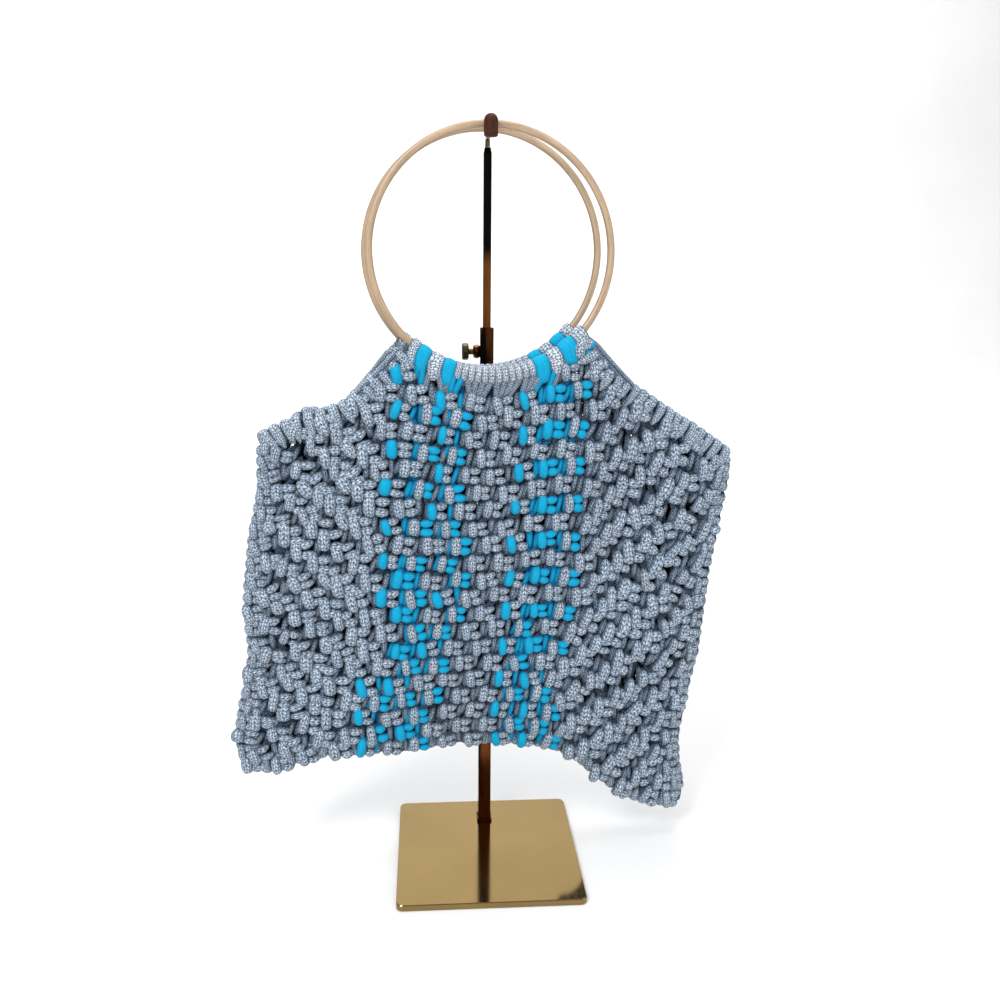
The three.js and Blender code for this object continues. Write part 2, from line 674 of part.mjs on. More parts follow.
function makePanel(side) {
  const shares = columnShares(side);
  const columns = shares.length - 1;
  const frontFace = [];
  const backFace = [];
  for (let row = 0; row <= PANEL_ROWS; row += 1) {
    for (const along of shares) {
      const middle = panelMiddle(side, along, row / PANEL_ROWS);
      frontFace.push(new THREE.Vector3(middle.x, middle.y - PANEL_WALL / 2, middle.z));
      backFace.push(new THREE.Vector3(middle.x, middle.y + PANEL_WALL / 2, middle.z));
    }
  }
  return mesh(`panel_${side}`, wallBetween(frontFace, backFace, columns, PANEL_ROWS), COLOURS.grey);
}

function makeStand() {
  const stand = new THREE.Group();
  stand.add(makePlate(), makePostTube(), makeThumbScrew(), makeInnerRod(), makeHook(), makeHookCap());
  return stand;
}

function makeBag() {
  const bag = new THREE.Group();
  for (const side of ['front', 'rear']) {
    bag.add(makeHoop(side), ...makeWraps(side), makePanel(side));
  }
  bag.position.set(0, bagMiddleY, 0);
  bag.rotation.z = degrees(BAG_TURN_DEGREES);
  return bag;
}

const group = new THREE.Group();
group.add(makeStand(), makeBag());

export default group;
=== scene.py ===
"""A bag of knotted cord with two wooden hoop handles, hanging from a brass display stand.

The stand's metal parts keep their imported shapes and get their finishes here. The bag is made here cord
by cord: rows of square knots on the two panels, cords wound round the hoops, and turned wooden hoops.
Lengths are in millimetres, and every mesh is turned into metres when it is made.
"""

import logging
import math
from collections.abc import Sequence
from dataclasses import dataclass, replace
from enum import Enum

import bpy
import numpy as np
from mathutils import Matrix, Vector

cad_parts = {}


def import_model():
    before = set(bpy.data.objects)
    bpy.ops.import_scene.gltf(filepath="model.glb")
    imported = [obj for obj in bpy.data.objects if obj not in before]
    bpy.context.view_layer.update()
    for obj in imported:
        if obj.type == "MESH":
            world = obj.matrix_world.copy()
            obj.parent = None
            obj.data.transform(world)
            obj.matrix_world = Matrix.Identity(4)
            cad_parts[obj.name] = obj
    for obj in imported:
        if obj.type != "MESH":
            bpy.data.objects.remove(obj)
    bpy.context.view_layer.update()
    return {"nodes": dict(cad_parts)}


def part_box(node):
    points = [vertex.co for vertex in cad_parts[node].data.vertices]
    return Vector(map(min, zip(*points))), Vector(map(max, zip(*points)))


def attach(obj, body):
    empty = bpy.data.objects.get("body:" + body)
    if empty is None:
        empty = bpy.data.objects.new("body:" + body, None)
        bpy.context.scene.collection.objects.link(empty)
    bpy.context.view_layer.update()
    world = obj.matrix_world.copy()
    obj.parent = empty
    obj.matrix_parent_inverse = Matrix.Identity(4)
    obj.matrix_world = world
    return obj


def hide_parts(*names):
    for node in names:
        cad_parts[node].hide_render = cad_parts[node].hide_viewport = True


LOG = logging.getLogger("knotted_bag")
METRES_PER_MM = 0.001
WHITE = (1.0, 1.0, 1.0)

Socket = bpy.types.NodeSocket

# What a shader input takes: another node's output, a number, or a colour or direction.
Value = Socket | float | tuple[float, ...]

# Places from 0 to 1 along a number, each with its colour.
Stops = Sequence[tuple[float, tuple[float, ...]]]

# A point or direction, and a range with its two ends.
Triple = tuple[float, float, float]
Span = tuple[float, float]

# The number stored at each point of a cord, which darkens its colour as painted shade: 0 deep between the
# knots, 1 where the cord stands proud.
PROUD = "proud"

# Painted shade on the two sides of a cord's section: how much less proud they count than its face.
SIDE_SHADE = 0.7


class Side(Enum):
    """The bag's two faces, each with the direction in which it looks along Y."""

    FRONT = -1
    REAR = 1

    @property
    def label(self) -> str:
        """The side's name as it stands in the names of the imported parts."""
        return self.name.lower()


class Cord(Enum):
    """The two kinds of cord, each with the record's name for its finish."""

    GREY = "grey_cord"
    TURQUOISE = "turquoise_cord"


# Finishes


class Tree:
    """Adds shader nodes to a new material and links them."""

    def __init__(self, name: str) -> None:
        """Starts a material with one shader.

        Args:
            name: the material's name.
        """
        self.material = bpy.data.materials.new(name)
        self.material.use_nodes = True
        self.nodes = self.material.node_tree.nodes
        self.links = self.material.node_tree.links
        self.shader = self.nodes["Principled BSDF"]

    def put(self, target: Socket, value: Value) -> None:
        """Sets a socket to a number or colour, or links it to another socket.

        Args:
            target: the input socket.
            value: a number, a tuple, or an output socket.
        """
        if isinstance(value, Socket):
            self.links.new(value, target)
        elif target.type == "RGBA":
            target.default_value = (*value[:3], 1.0)
        else:
            target.default_value = value

    def surface(self, **values: Value) -> None:
        """Sets the shader's inputs. Words are joined by an underscore, as in Base_Color."""
        for name, value in values.items():
            self.put(self.shader.inputs[name.replace("_", " ")], value)

    def math(self, operation: str, first: Value, second: Value = 0.0) -> Socket:
        """Adds one sum.

        Args:
            operation: Blender's name of the sum.
            first: the first number or socket.
            second: the second number or socket.

        Returns:
            The socket that holds the result.
        """
        node = self.nodes.new("ShaderNodeMath")
        node.operation = operation
        self.put(node.inputs[0], first)
        self.put(node.inputs[1], second)
        return node.outputs[0]

    def place(self, kind: str = "Object") -> Socket:
        """The texture coordinate of the given kind."""
        return self.nodes.new("ShaderNodeTexCoord").outputs[kind]

    def stored(self, name: str) -> Socket:
        """Reads a number stored in the mesh.

        Args:
            name: the name under which it is stored.

        Returns:
            The number's socket.
        """
        node = self.nodes.new("ShaderNodeAttribute")
        node.attribute_name = name
        return node.outputs["Fac"]

    def stretched(self, vector: Value, scale: Triple) -> Socket:
        """A coordinate scaled along its three directions.

        Args:
            vector: the coordinate's socket.
            scale: how many times each direction is shrunk in the pattern.

        Returns:
            The scaled coordinate.
        """
        node = self.nodes.new("ShaderNodeMapping")
        self.put(node.inputs["Vector"], vector)
        node.inputs["Scale"].default_value = scale
        return node.outputs[0]

    def noise(self, vector: Value, scale: float, detail: float = 2.0) -> Socket:
        """Cloudy noise from 0 to 1.

        Args:
            vector: the coordinate's socket.
            scale: how fine the noise is.
            detail: how many finer layers it has.

        Returns:
            The noise value.
        """
        node = self.nodes.new("ShaderNodeTexNoise")
        self.put(node.inputs["Vector"], vector)
        node.inputs["Scale"].default_value = scale
        node.inputs["Detail"].default_value = detail
        return node.outputs["Fac"]

    def ramp(self, share: Value, stops: Stops) -> Socket:
        """Colours blended along a number.

        Args:
            share: the number's socket.
            stops: places from 0 to 1 with their colours.

        Returns:
            The colour.
        """
        node = self.nodes.new("ShaderNodeValToRGB")
        self.put(node.inputs[0], share)
        band = node.color_ramp
        while len(band.elements) < len(stops):
            band.elements.new(0.5)
        for element, (where, colour) in zip(band.elements, stops):
            element.position = where
            element.color = (*colour, 1.0)
        return node.outputs[0]

    def mixed(self, share: Value, first: Value, second: Value, how: str = "MIX") -> Socket:
        """Two colours blended.

        Args:
            share: how much of the second shows.
            first: a colour or its socket.
            second: a colour or its socket.
            how: Blender's name of the blending.

        Returns:
            The blended colour.
        """
        node = self.nodes.new("ShaderNodeMix")
        node.data_type = "RGBA"
        node.blend_type = how
        self.put(node.inputs[0], share)
        self.put(node.inputs[6], first)
        self.put(node.inputs[7], second)
        return node.outputs[2]

    def bump(self, height: Value, depth_mm: float, strength: float = 1.0) -> None:
        """Raises the surface by a height from 0 to 1.

        Args:
            height: the height's socket.
            depth_mm: how high a height of 1 stands.
            strength: how strongly it shows.
        """
        node = self.nodes.new("ShaderNodeBump")
        node.inputs["Strength"].default_value = strength
        node.inputs["Distance"].default_value = depth_mm * METRES_PER_MM
        self.put(node.inputs["Height"], height)
        self.links.new(node.outputs[0], self.shader.inputs["Normal"])


@dataclass(frozen=True)
class KnittedYarn:
    """Heathered grey tube yarn. Its knitting shows as rows of small V stitches."""

    name: str = "heathered_knitted_yarn"
    wales_round: float = 6.0
    course_mm: float = 1.8
    slant: float = 0.6
    uneven: float = 0.9
    uneven_scale: float = 420.0
    heather_scale: float = 900.0
    patch_scale: float = 60.0
    stitch_power: float = 0.6
    stitch_depth_mm: float = 0.55
    fleck_from: float = 0.6
    fleck_share: float = 0.6
    # Stitch colours: groove is painted shade between the stitches, crest is painted light on their tops.
    groove: tuple[float, ...] = (0.05, 0.08, 0.12)
    middle: tuple[float, ...] = (0.29, 0.37, 0.46)
    crest: tuple[float, ...] = (0.6, 0.69, 0.79)
    fleck: tuple[float, ...] = (0.05, 0.08, 0.12)
    dull_patch: tuple[float, ...] = (0.86, 0.87, 0.9)
    # Painted shade where the cord lies deep or turns its sides away, and painted light where it stands
    # proudest.
    shade_by_depth: Stops = (
        (0.0, (0.02, 0.06, 0.1)),
        (0.32, (0.2, 0.28, 0.36)),
        (0.62, (0.7, 0.75, 0.8)),
        (0.88, (1.1, 1.1, 1.1)),
    )

    def make(self) -> bpy.types.Material:
        """Makes the finish. The cords' UV runs round the cord and then along it in millimetres.

        Returns:
            The material.
        """
        tree = Tree(self.name)
        split = tree.nodes.new("ShaderNodeSeparateXYZ")
        tree.put(split.inputs[0], tree.place("UV"))
        cloud = tree.noise(tree.place(), self.uneven_scale)
        jitter = tree.math("MULTIPLY", tree.math("SUBTRACT", cloud, 0.5), self.uneven)
        around = tree.math("ADD", tree.math("MULTIPLY", split.outputs[0], self.wales_round), jitter)
        across = tree.math("FRACT", around)
        leg = tree.math("MULTIPLY", tree.math("ABSOLUTE", tree.math("SUBTRACT", across, 0.5)), 2.0)
        course = tree.math("ADD", tree.math("DIVIDE", split.outputs[1], self.course_mm), jitter)
        slanted = tree.math("ADD", course, tree.math("MULTIPLY", leg, self.slant))
        loop = tree.math("ABSOLUTE", tree.math("SINE", tree.math("MULTIPLY", slanted, math.pi)))
        arch = tree.math("SINE", tree.math("MULTIPLY", leg, math.pi))
        stitch = tree.math("POWER", tree.math("MULTIPLY", loop, arch), self.stitch_power)
        heather = tree.noise(tree.place(), self.heather_scale, 3.0)
        patches = tree.noise(tree.place(), self.patch_scale, 2.0)
        # The stitch pattern coloured with painted shade in its grooves and painted light on its crests.
        lit = tree.ramp(stitch, [(0.12, self.groove), (0.5, self.middle), (0.95, self.crest)])
        has_fleck = tree.math("GREATER_THAN", heather, self.fleck_from)
        flecked = tree.mixed(has_fleck, lit, tree.mixed(self.fleck_share, lit, self.fleck))
        tint = tree.ramp(patches, [(0.3, self.dull_patch), (0.7, WHITE)])
        # Painted shade read from the stored depth.
        depth = tree.ramp(tree.stored(PROUD), self.shade_by_depth)
        tree.surface(
            Base_Color=tree.mixed(1.0, tree.mixed(1.0, flecked, tint, "MULTIPLY"), depth, "MULTIPLY"),
            Roughness=0.88,
            Sheen_Weight=0.25,
            Sheen_Roughness=0.4,
            Specular_IOR_Level=0.25,
        )
        tree.bump(stitch, self.stitch_depth_mm)
        return tree.material


@dataclass(frozen=True)
class JerseyCord:
    """Bright smooth jersey cord with fine lines along it."""

    name: str = "turquoise_jersey_cord"
    ribs_round: float = 13.0
    rib_height: float = 0.14
    fuzz_height: float = 0.8
    fuzz_scale: float = 700.0
    bump_mm: float = 0.14
    # deep is painted shade in the rib valleys and fuzz, bright the turquoise on the rib tops.
    deep: tuple[float, ...] = (0.0, 0.25, 0.44)
    bright: tuple[float, ...] = (0.0, 0.44, 0.73)
    # Painted shade where the cord lies deep or turns its sides away.
    shade_by_depth: Stops = (
        (0.0, (0.05, 0.2, 0.3)),
        (0.4, (0.4, 0.6, 0.7)),
        (0.85, WHITE),
    )

    def make(self) -> bpy.types.Material:
        """Makes the finish, with soft ribs along the cord and a faint fuzz.

        Returns:
            The material.
        """
        tree = Tree(self.name)
        split = tree.nodes.new("ShaderNodeSeparateXYZ")
        tree.put(split.inputs[0], tree.place("UV"))
        turn = tree.math("MULTIPLY", split.outputs[0], self.ribs_round * 2.0 * math.pi)
        rib = tree.math("ADD", tree.math("MULTIPLY", tree.math("SINE", turn), 0.5), 0.5)
        fuzz = tree.math("MULTIPLY", tree.noise(tree.place(), self.fuzz_scale, 3.0), self.fuzz_height)
        height = tree.math("ADD", tree.math("MULTIPLY", rib, self.rib_height), fuzz)
        depth = tree.ramp(tree.stored(PROUD), self.shade_by_depth)
        # The cord's turquoise with painted shade in the rib valleys.
        rib_shaded_colour = tree.ramp(height, [(0.1, self.deep), (0.75, self.bright)])
        tree.surface(
            Base_Color=tree.mixed(1.0, rib_shaded_colour, depth, "MULTIPLY"),
            Roughness=0.72,
            Sheen_Weight=0.08,
            Sheen_Roughness=0.45,
            Specular_IOR_Level=0.2,
        )
        tree.bump(height, self.bump_mm)
        return tree.material


@dataclass(frozen=True)
class PaleWood:
    """Clear-lacquered pale wood, its grain running round the hoop."""

    name: str = "pale_lacquered_wood"
    light: tuple[float, ...] = (0.53, 0.38, 0.245)
    dark: tuple[float, ...] = (0.36, 0.25, 0.16)
    pore: tuple[float, ...] = (0.2, 0.12, 0.065)
    # Painted shade on the hoop's inner and outer edges.
    painted_edge_shade: tuple[float, ...] = (0.55, 0.5, 0.45)
    band_stretch: Triple = (5.0, 0.016, 1.0)
    fibre_stretch: Triple = (60.0, 0.12, 1.0)
    pore_below: float = 0.4
    pore_share: float = 0.4
    fibre_mm: float = 0.05

    def make(self) -> bpy.types.Material:
        """Makes the finish. The hoop's UV runs round the wood and then along it in millimetres.

        Returns:
            The material.
        """
        tree = Tree(self.name)
        place = tree.place("UV")
        bands = tree.noise(tree.stretched(place, self.band_stretch), 1.6, 4.0)
        fibres = tree.noise(tree.stretched(place, self.fibre_stretch), 1.0, 3.0)
        figure = tree.ramp(bands, [(0.3, self.dark), (0.62, self.light)])
        pores = tree.math("MULTIPLY", tree.math("LESS_THAN", fibres, self.pore_below), self.pore_share)
        worn = tree.mixed(pores, figure, self.pore)
        # Painted shade towards the hoop's edges, read from the stored number.
        edge = tree.ramp(tree.stored(PROUD), [(0.4, self.painted_edge_shade), (0.85, WHITE)])
        tree.surface(
            Base_Color=tree.mixed(1.0, worn, edge, "MULTIPLY"),
            Roughness=0.45,
            Coat_Weight=0.2,
            Coat_Roughness=0.25,
        )
        tree.bump(fibres, self.fibre_mm, 0.5)
        return tree.material


# On the plate and screw the clouds are tarnish; on the post and rod they are painted reflections.
@dataclass(frozen=True)
class Brass:
    """Brass with brushed lines along Z and cloudy tarnish, and black above a height if one is given."""

    name: str
    bright: tuple[float, ...]
    dark: tuple[float, ...]
    roughness: float
    cloud_scale: float = 28.0
    tarnish_and_reflection_from: float = 0.35
    tarnish_and_reflection_to: float = 0.7
    stretch: Triple = (1.0, 1.0, 0.25)
    scuff_scale: float = 240.0
    scuff_depth: float = 0.16
    line_scale: float = 1800.0
    line_stretch: Triple = (1.0, 1.0, 0.03)
    line_mm: float = 0.02
    line_strength: float = 0.25
    painted_reflection_from: float = 0.0
    painted_reflection_fade: float = 0.012
    black: tuple[float, ...] = (0.008, 0.008, 0.007)

    def make(self) -> bpy.types.Material:
        """Makes the finish, darker in the clouds of tarnish and painted reflection. Heights are in metres
        above the floor.

        Returns:
            The material.
        """
        tree = Tree(self.name)
        place = tree.place()
        clouds = tree.noise(tree.stretched(place, self.stretch), self.cloud_scale, 4.0)
        lines = tree.noise(tree.stretched(place, self.line_stretch), self.line_scale, 2.0)
        scuffs = tree.noise(place, self.scuff_scale, 3.0)
        colour = tree.ramp(clouds, [(self.tarnish_and_reflection_from, self.bright), (self.tarnish_and_reflection_to, self.dark)])
        # Painted reflection: the finish turns black above a height.
        if self.painted_reflection_from > 0.0:
            split = tree.nodes.new("ShaderNodeSeparateXYZ")
            tree.put(split.inputs[0], place)
            height = tree.math("SUBTRACT", split.outputs[2], self.painted_reflection_from)
            share = tree.nodes.new("ShaderNodeClamp")
            tree.put(share.inputs[0], tree.math("DIVIDE", height, self.painted_reflection_fade))
            colour = tree.mixed(share.outputs[0], colour, self.black)
        half = self.scuff_depth / 2.0
        rough = tree.math("ADD", tree.math("MULTIPLY", scuffs, self.scuff_depth), self.roughness - half)
        tree.surface(Base_Color=colour, Metallic=1.0, Roughness=rough)
        tree.bump(lines, self.line_mm, self.line_strength)
        return tree.material


@dataclass(frozen=True)
class CapPlastic:
    """Dark reddish brown moulded plastic with a fine grain."""

    name: str = "dark_brown_plastic"
    colour: tuple[float, ...] = (0.042, 0.011, 0.004)
    rubbed: tuple[float, ...] = (0.065, 0.018, 0.008)

    def make(self) -> bpy.types.Material:
        """Makes the finish, a little lighter where it is rubbed.

        Returns:
            The material.
        """
        tree = Tree(self.name)
        wear = tree.noise(tree.place(), 320.0, 3.0)
        tree.surface(
            Base_Color=tree.ramp(wear, [(0.4, self.colour), (0.8, self.rubbed)]),
            Roughness=0.5,
            Specular_IOR_Level=0.18,
        )
        tree.bump(wear, 0.04, 0.4)
        return tree.material


@dataclass(frozen=True)
class PaleFloor:
    """Matt white studio floor with a trace of unevenness."""

    name: str = "white_studio_floor"
    low: tuple[float, ...] = (0.86, 0.86, 0.86)
    high: tuple[float, ...] = (0.9, 0.9, 0.9)

    def make(self) -> bpy.types.Material:
        """Makes the finish.

        Returns:
            The material.
        """
        tree = Tree(self.name)
        cloud = tree.noise(tree.place(), 3.0)
        tree.surface(Base_Color=tree.ramp(cloud, [(0.3, self.low), (0.7, self.high)]), Roughness=0.7)
        return tree.material


# Meshes of swept cords


@dataclass
class Sweep:
    """Tubes of one kind, all with the same number of rings and sides."""

    points: np.ndarray
    uv: np.ndarray
    closed: bool
    proud: np.ndarray

    @staticmethod
    def along(
        paths: np.ndarray, widths: np.ndarray, depths: np.ndarray, aside: np.ndarray, sides: int,
        closed: bool = False,
    ) -> "Sweep":
        """Sweeps an oval section along each path.

        Args:
            paths: points of shape (tubes, steps, 3).
            widths: half widths across `aside`, of shape (tubes, steps).
            depths: half widths at right angles to that, of shape (tubes, steps).
            aside: a direction that the path never follows, for each tube or for each of its steps.
            sides: how many sides the section has.
            closed: whether each path returns to its start.

        Returns:
            The tubes' points and their places round and along the cord.
        """
        if closed:
            tangent = np.roll(paths, -1, axis=1) - np.roll(paths, 1, axis=1)
        else:
            tangent = np.gradient(paths, axis=1)
        tangent = unit(tangent)
        aside = aside if aside.ndim == 3 else aside[:, None, :]
        across = aside - tangent * np.sum(aside * tangent, axis=2, keepdims=True)
        across = unit(across)
        outward = np.cross(tangent, across)
        turn = np.linspace(0.0, 2.0 * math.pi, sides, endpoint=False)
        ring = (
            across[:, :, None, :] * (widths[:, :, None, None] * np.cos(turn)[None, None, :, None])
            + outward[:, :, None, :] * (depths[:, :, None, None] * np.sin(turn)[None, None, :, None])
        )
        points = paths[:, :, None, :] + ring
        steps = np.linalg.norm(np.diff(paths, axis=1), axis=2)
        length = np.concatenate([np.zeros((len(paths), 1)), np.cumsum(steps, axis=1)], axis=1)
        uv = np.zeros((*points.shape[:3], 2))
        uv[..., 0] = np.arange(sides) / sides
        uv[..., 1] = length[:, :, None]
        # Painted shade: the sides of each section count as less proud, so they are coloured darker.
        proud = np.broadcast_to(1.0 - SIDE_SHADE * np.abs(np.cos(turn)) ** 3, points.shape[:3]).copy()
        return Sweep(points, uv, closed, proud)

    @property
    def triangles(self) -> int:
        """How many triangles the tubes have in all."""
        tubes, rings, sides, _ = self.points.shape
        return tubes * (rings if self.closed else rings - 1) * sides * 2

    def moved(self, points: np.ndarray) -> "Sweep":
        """The same tubes with their points elsewhere."""
        return Sweep(points, self.uv, self.closed, self.proud)

    def shaded(self, proud: np.ndarray) -> "Sweep":
        """The same tubes with how proud each point stands, from 0 to 1."""
        return Sweep(self.points, self.uv, self.closed, proud)

    def picked(self, chosen: np.ndarray) -> "Sweep":
        """Only the tubes that are chosen by number or by a mask."""
        return Sweep(self.points[chosen], self.uv[chosen], self.closed, self.proud[chosen])


def xyz(*parts: np.ndarray | float) -> np.ndarray:
    """Points from their three coordinates, of which any may be one number for all the points."""
    return np.stack(np.broadcast_arrays(*parts), axis=-1)


def unit(vectors: np.ndarray) -> np.ndarray:
    """Vectors scaled to a length of one."""
    return vectors / np.maximum(np.linalg.norm(vectors, axis=-1, keepdims=True), 1e-12)


def mesh_of(name: str, sweeps: list[Sweep], material: bpy.types.Material) -> bpy.types.Object:
    """Makes one smooth mesh of tubes.

    Args:
        name: the piece's name.
        sweeps: tubes in millimetres in the row frame.
        material: the finish.

    Returns:
        The new object, linked to the scene.
    """
    vertices, faces, coordinates, prouds, start = [], [], [], [], 0
    for sweep in sweeps:
        tubes, rings, sides, _ = sweep.points.shape
        if tubes == 0:
            continue
        vertices.append(sweep.points.reshape(-1, 3))
        prouds.append(sweep.proud.reshape(-1))
        ring_steps = rings if sweep.closed else rings - 1
        ring, side = np.meshgrid(np.arange(ring_steps), np.arange(sides), indexing="ij")
        ring_next, side_next = (ring + 1) % rings, (side + 1) % sides
        here, ahead = ring * sides, ring_next * sides
        quad = np.stack([here + side, here + side_next, ahead + side_next, ahead + side], axis=-1)
        quad = quad.reshape(-1, 4)
        offsets = start + np.arange(tubes) * rings * sides
        faces.append((quad[None, :, :] + offsets[:, None, None]).reshape(-1, 4))
        flat = sweep.uv.reshape(tubes, rings * sides, 2)[:, quad]
        rounded = (side_next == 0).reshape(-1, 1) & np.array([False, True, True, False])
        flat[..., 0] += np.where(rounded, 1.0, 0.0)
        step = np.linalg.norm(sweep.points[:, 1].mean(1) - sweep.points[:, 0].mean(1), axis=-1)
        wrapped = (ring_next == 0).reshape(-1, 1) & np.array([False, False, True, True])
        last = sweep.uv[:, -1, 0, 1] + step
        flat[..., 1] += np.where(wrapped[None], last[:, None, None], 0.0)
        coordinates.append(flat.reshape(-1, 2))
        start += tubes * rings * sides
    points = np.concatenate(vertices) * METRES_PER_MM
    quads = np.concatenate(faces)
    mesh = bpy.data.meshes.new(name)
    mesh.vertices.add(len(points))
    mesh.vertices.foreach_set("co", points.astype(np.float32).ravel())
    mesh.loops.add(quads.size)
    mesh.loops.foreach_set("vertex_index", quads.astype(np.int32).ravel())
    mesh.polygons.add(len(quads))
    mesh.polygons.foreach_set("loop_start", np.arange(0, quads.size, 4, dtype=np.int32))
    layer = mesh.uv_layers.new(name="cord")
    layer.data.foreach_set("uv", np.concatenate(coordinates).astype(np.float32).ravel())
    mesh.polygons.foreach_set("use_smooth", np.ones(len(quads), dtype=bool))
    mesh.update(calc_edges=True)
    # The number that sets each point's painted shade.
    mesh.attributes.new(PROUD, "FLOAT", "POINT").data.foreach_set(
        "value", np.concatenate(prouds).astype(np.float32)
    )
    mesh.materials.append(material)
    piece = bpy.data.objects.new(name, mesh)
    bpy.context.scene.collection.objects.link(piece)
    return piece


def add_piece(
    name: str, sweeps: list[Sweep], material: bpy.types.Material, replaced: str = ""
) -> None:
    """Makes one piece of tubes, ties it to the one body and reports it.

    Args:
        name: the piece's name.
        sweeps: its tubes.
        material: its finish.
        replaced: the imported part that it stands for, if it stands for one.
    """
    piece = mesh_of(name, sweeps, material)
    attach(piece, "root")
    if replaced:
        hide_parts(replaced)
    LOG.info("%s: %d triangles", name, sum(sweep.triangles for sweep in sweeps))


# The bag's shape


class Profile:
    """A quantity given at a few places, read smoothly between them."""

    def __init__(self, places: list[float], values: list[float], smoothing: float = 0.0) -> None:
        """Keeps the table.

        Args:
            places: rising places.
            values: the value at each place.
            smoothing: how wide a stretch is averaged, so that no crease shows.
        """
        self.places = np.array(places)
        self.values = np.array(values)
        self.smoothing = smoothing

    def at(self, place: np.ndarray) -> np.ndarray:
        """Reads the table.

        Args:
            place: places, each between two of the table's or beyond its ends.

        Returns:
            The value at each place.
        """
        spread = np.array([-1.0, -0.5, 0.0, 0.5, 1.0]) * self.smoothing
        read = [np.interp(place + step, self.places, self.values) for step in spread]
        return read[2] * 0.4 + (read[1] + read[3]) * 0.2 + (read[0] + read[4]) * 0.1


def smooth_step(low: float, high: float, value: np.ndarray) -> np.ndarray:
    """Rises softly from 0 at `low` to 1 at `high`."""
    share = np.clip((value - low) / (high - low), 0.0, 1.0)
    return share * share * (3.0 - 2.0 * share)


def tapered(place: np.ndarray, fullness: float, power: int) -> np.ndarray:
    """A strand's share of its width along its length.

    Args:
        place: places from -1 at its start to 1 at its end.
        fullness: just above 1, and higher where its ends are blunter.
        power: how late it narrows.

    Returns:
        The shares.
    """
    return np.sqrt(np.clip(fullness - np.abs(place) ** power, 0.05, 1.0))


def turned(points: np.ndarray, degrees: float, axis: int) -> np.ndarray:
    """Turns points about an axis through the origin.

    Args:
        points: points whose last dimension holds X, Y and Z.
        degrees: how far they turn.
        axis: 0 for X, 1 for Y and 2 for Z.

    Returns:
        The turned points.
    """
    angle = math.radians(degrees)
    first, second = [(1, 2), (2, 0), (0, 1)][axis]
    result = points.copy()
    result[..., first] = points[..., first] * math.cos(angle) - points[..., second] * math.sin(angle)
    result[..., second] = points[..., first] * math.sin(angle) + points[..., second] * math.cos(angle)
    return result


@dataclass(frozen=True)
class BagPlace:
    """Where the bag hangs on the stand."""

    middle_y: float = 14.0
    turn: float = 6.0

    def to_row(self, points: np.ndarray) -> np.ndarray:
        """Points of the bag in the row frame, in millimetres."""
        return turned(points, self.turn, 2) + np.array([0.0, self.middle_y, 0.0])


@dataclass(frozen=True)
class HoopLine:
    """The middle line of one wooden hoop: its place on the hook, its lean and its turn."""

    across: float
    forward: float
    top: float
    lean: float
    turn: float
    wraps: tuple[float, ...]
    radius: float = 84.4
    wood: float = 2.4

    def place(self, points: np.ndarray) -> np.ndarray:
        """Points of the hoop, which lies in XZ with its top at the origin, in the bag's own frame."""
        leaned = turned(points, -self.lean, 0)
        return turned(leaned, self.turn, 2) + np.array([self.across, self.forward, self.top])

    def flat_at(self, angle: np.ndarray, distance: np.ndarray) -> np.ndarray:
        """Points of the hoop's own plane.

        Args:
            angle: degrees round the hoop from its lowest point.
            distance: distance from the hoop's centre.

        Returns:
            The points before the hoop is hung.
        """
        turn = np.radians(angle)
        return xyz(distance * np.sin(turn), 0.0, -self.radius - distance * np.cos(turn))

    def at(self, angle: np.ndarray, distance: np.ndarray) -> np.ndarray:
        """Points round the hung hoop, in the bag's own frame."""
        return self.place(self.flat_at(angle, distance))


HOOPS = {
    Side.FRONT: HoopLine(
        0.4, -2.0, 548.33, 4.5, -2.0, (-45.4, -38.1, -31.6, -24.5, -18.2, 20.7, 28.1, 35.2, 43.9, 50.8)
    ),
    Side.REAR: HoopLine(
        -1.5, 16.0, 547.33, 0.5, 2.0, (-46.5, -40.0, -33.0, -26.0, -19.0, 24.0, 31.0, 38.0, 45.5, 51.5)
    ),
}


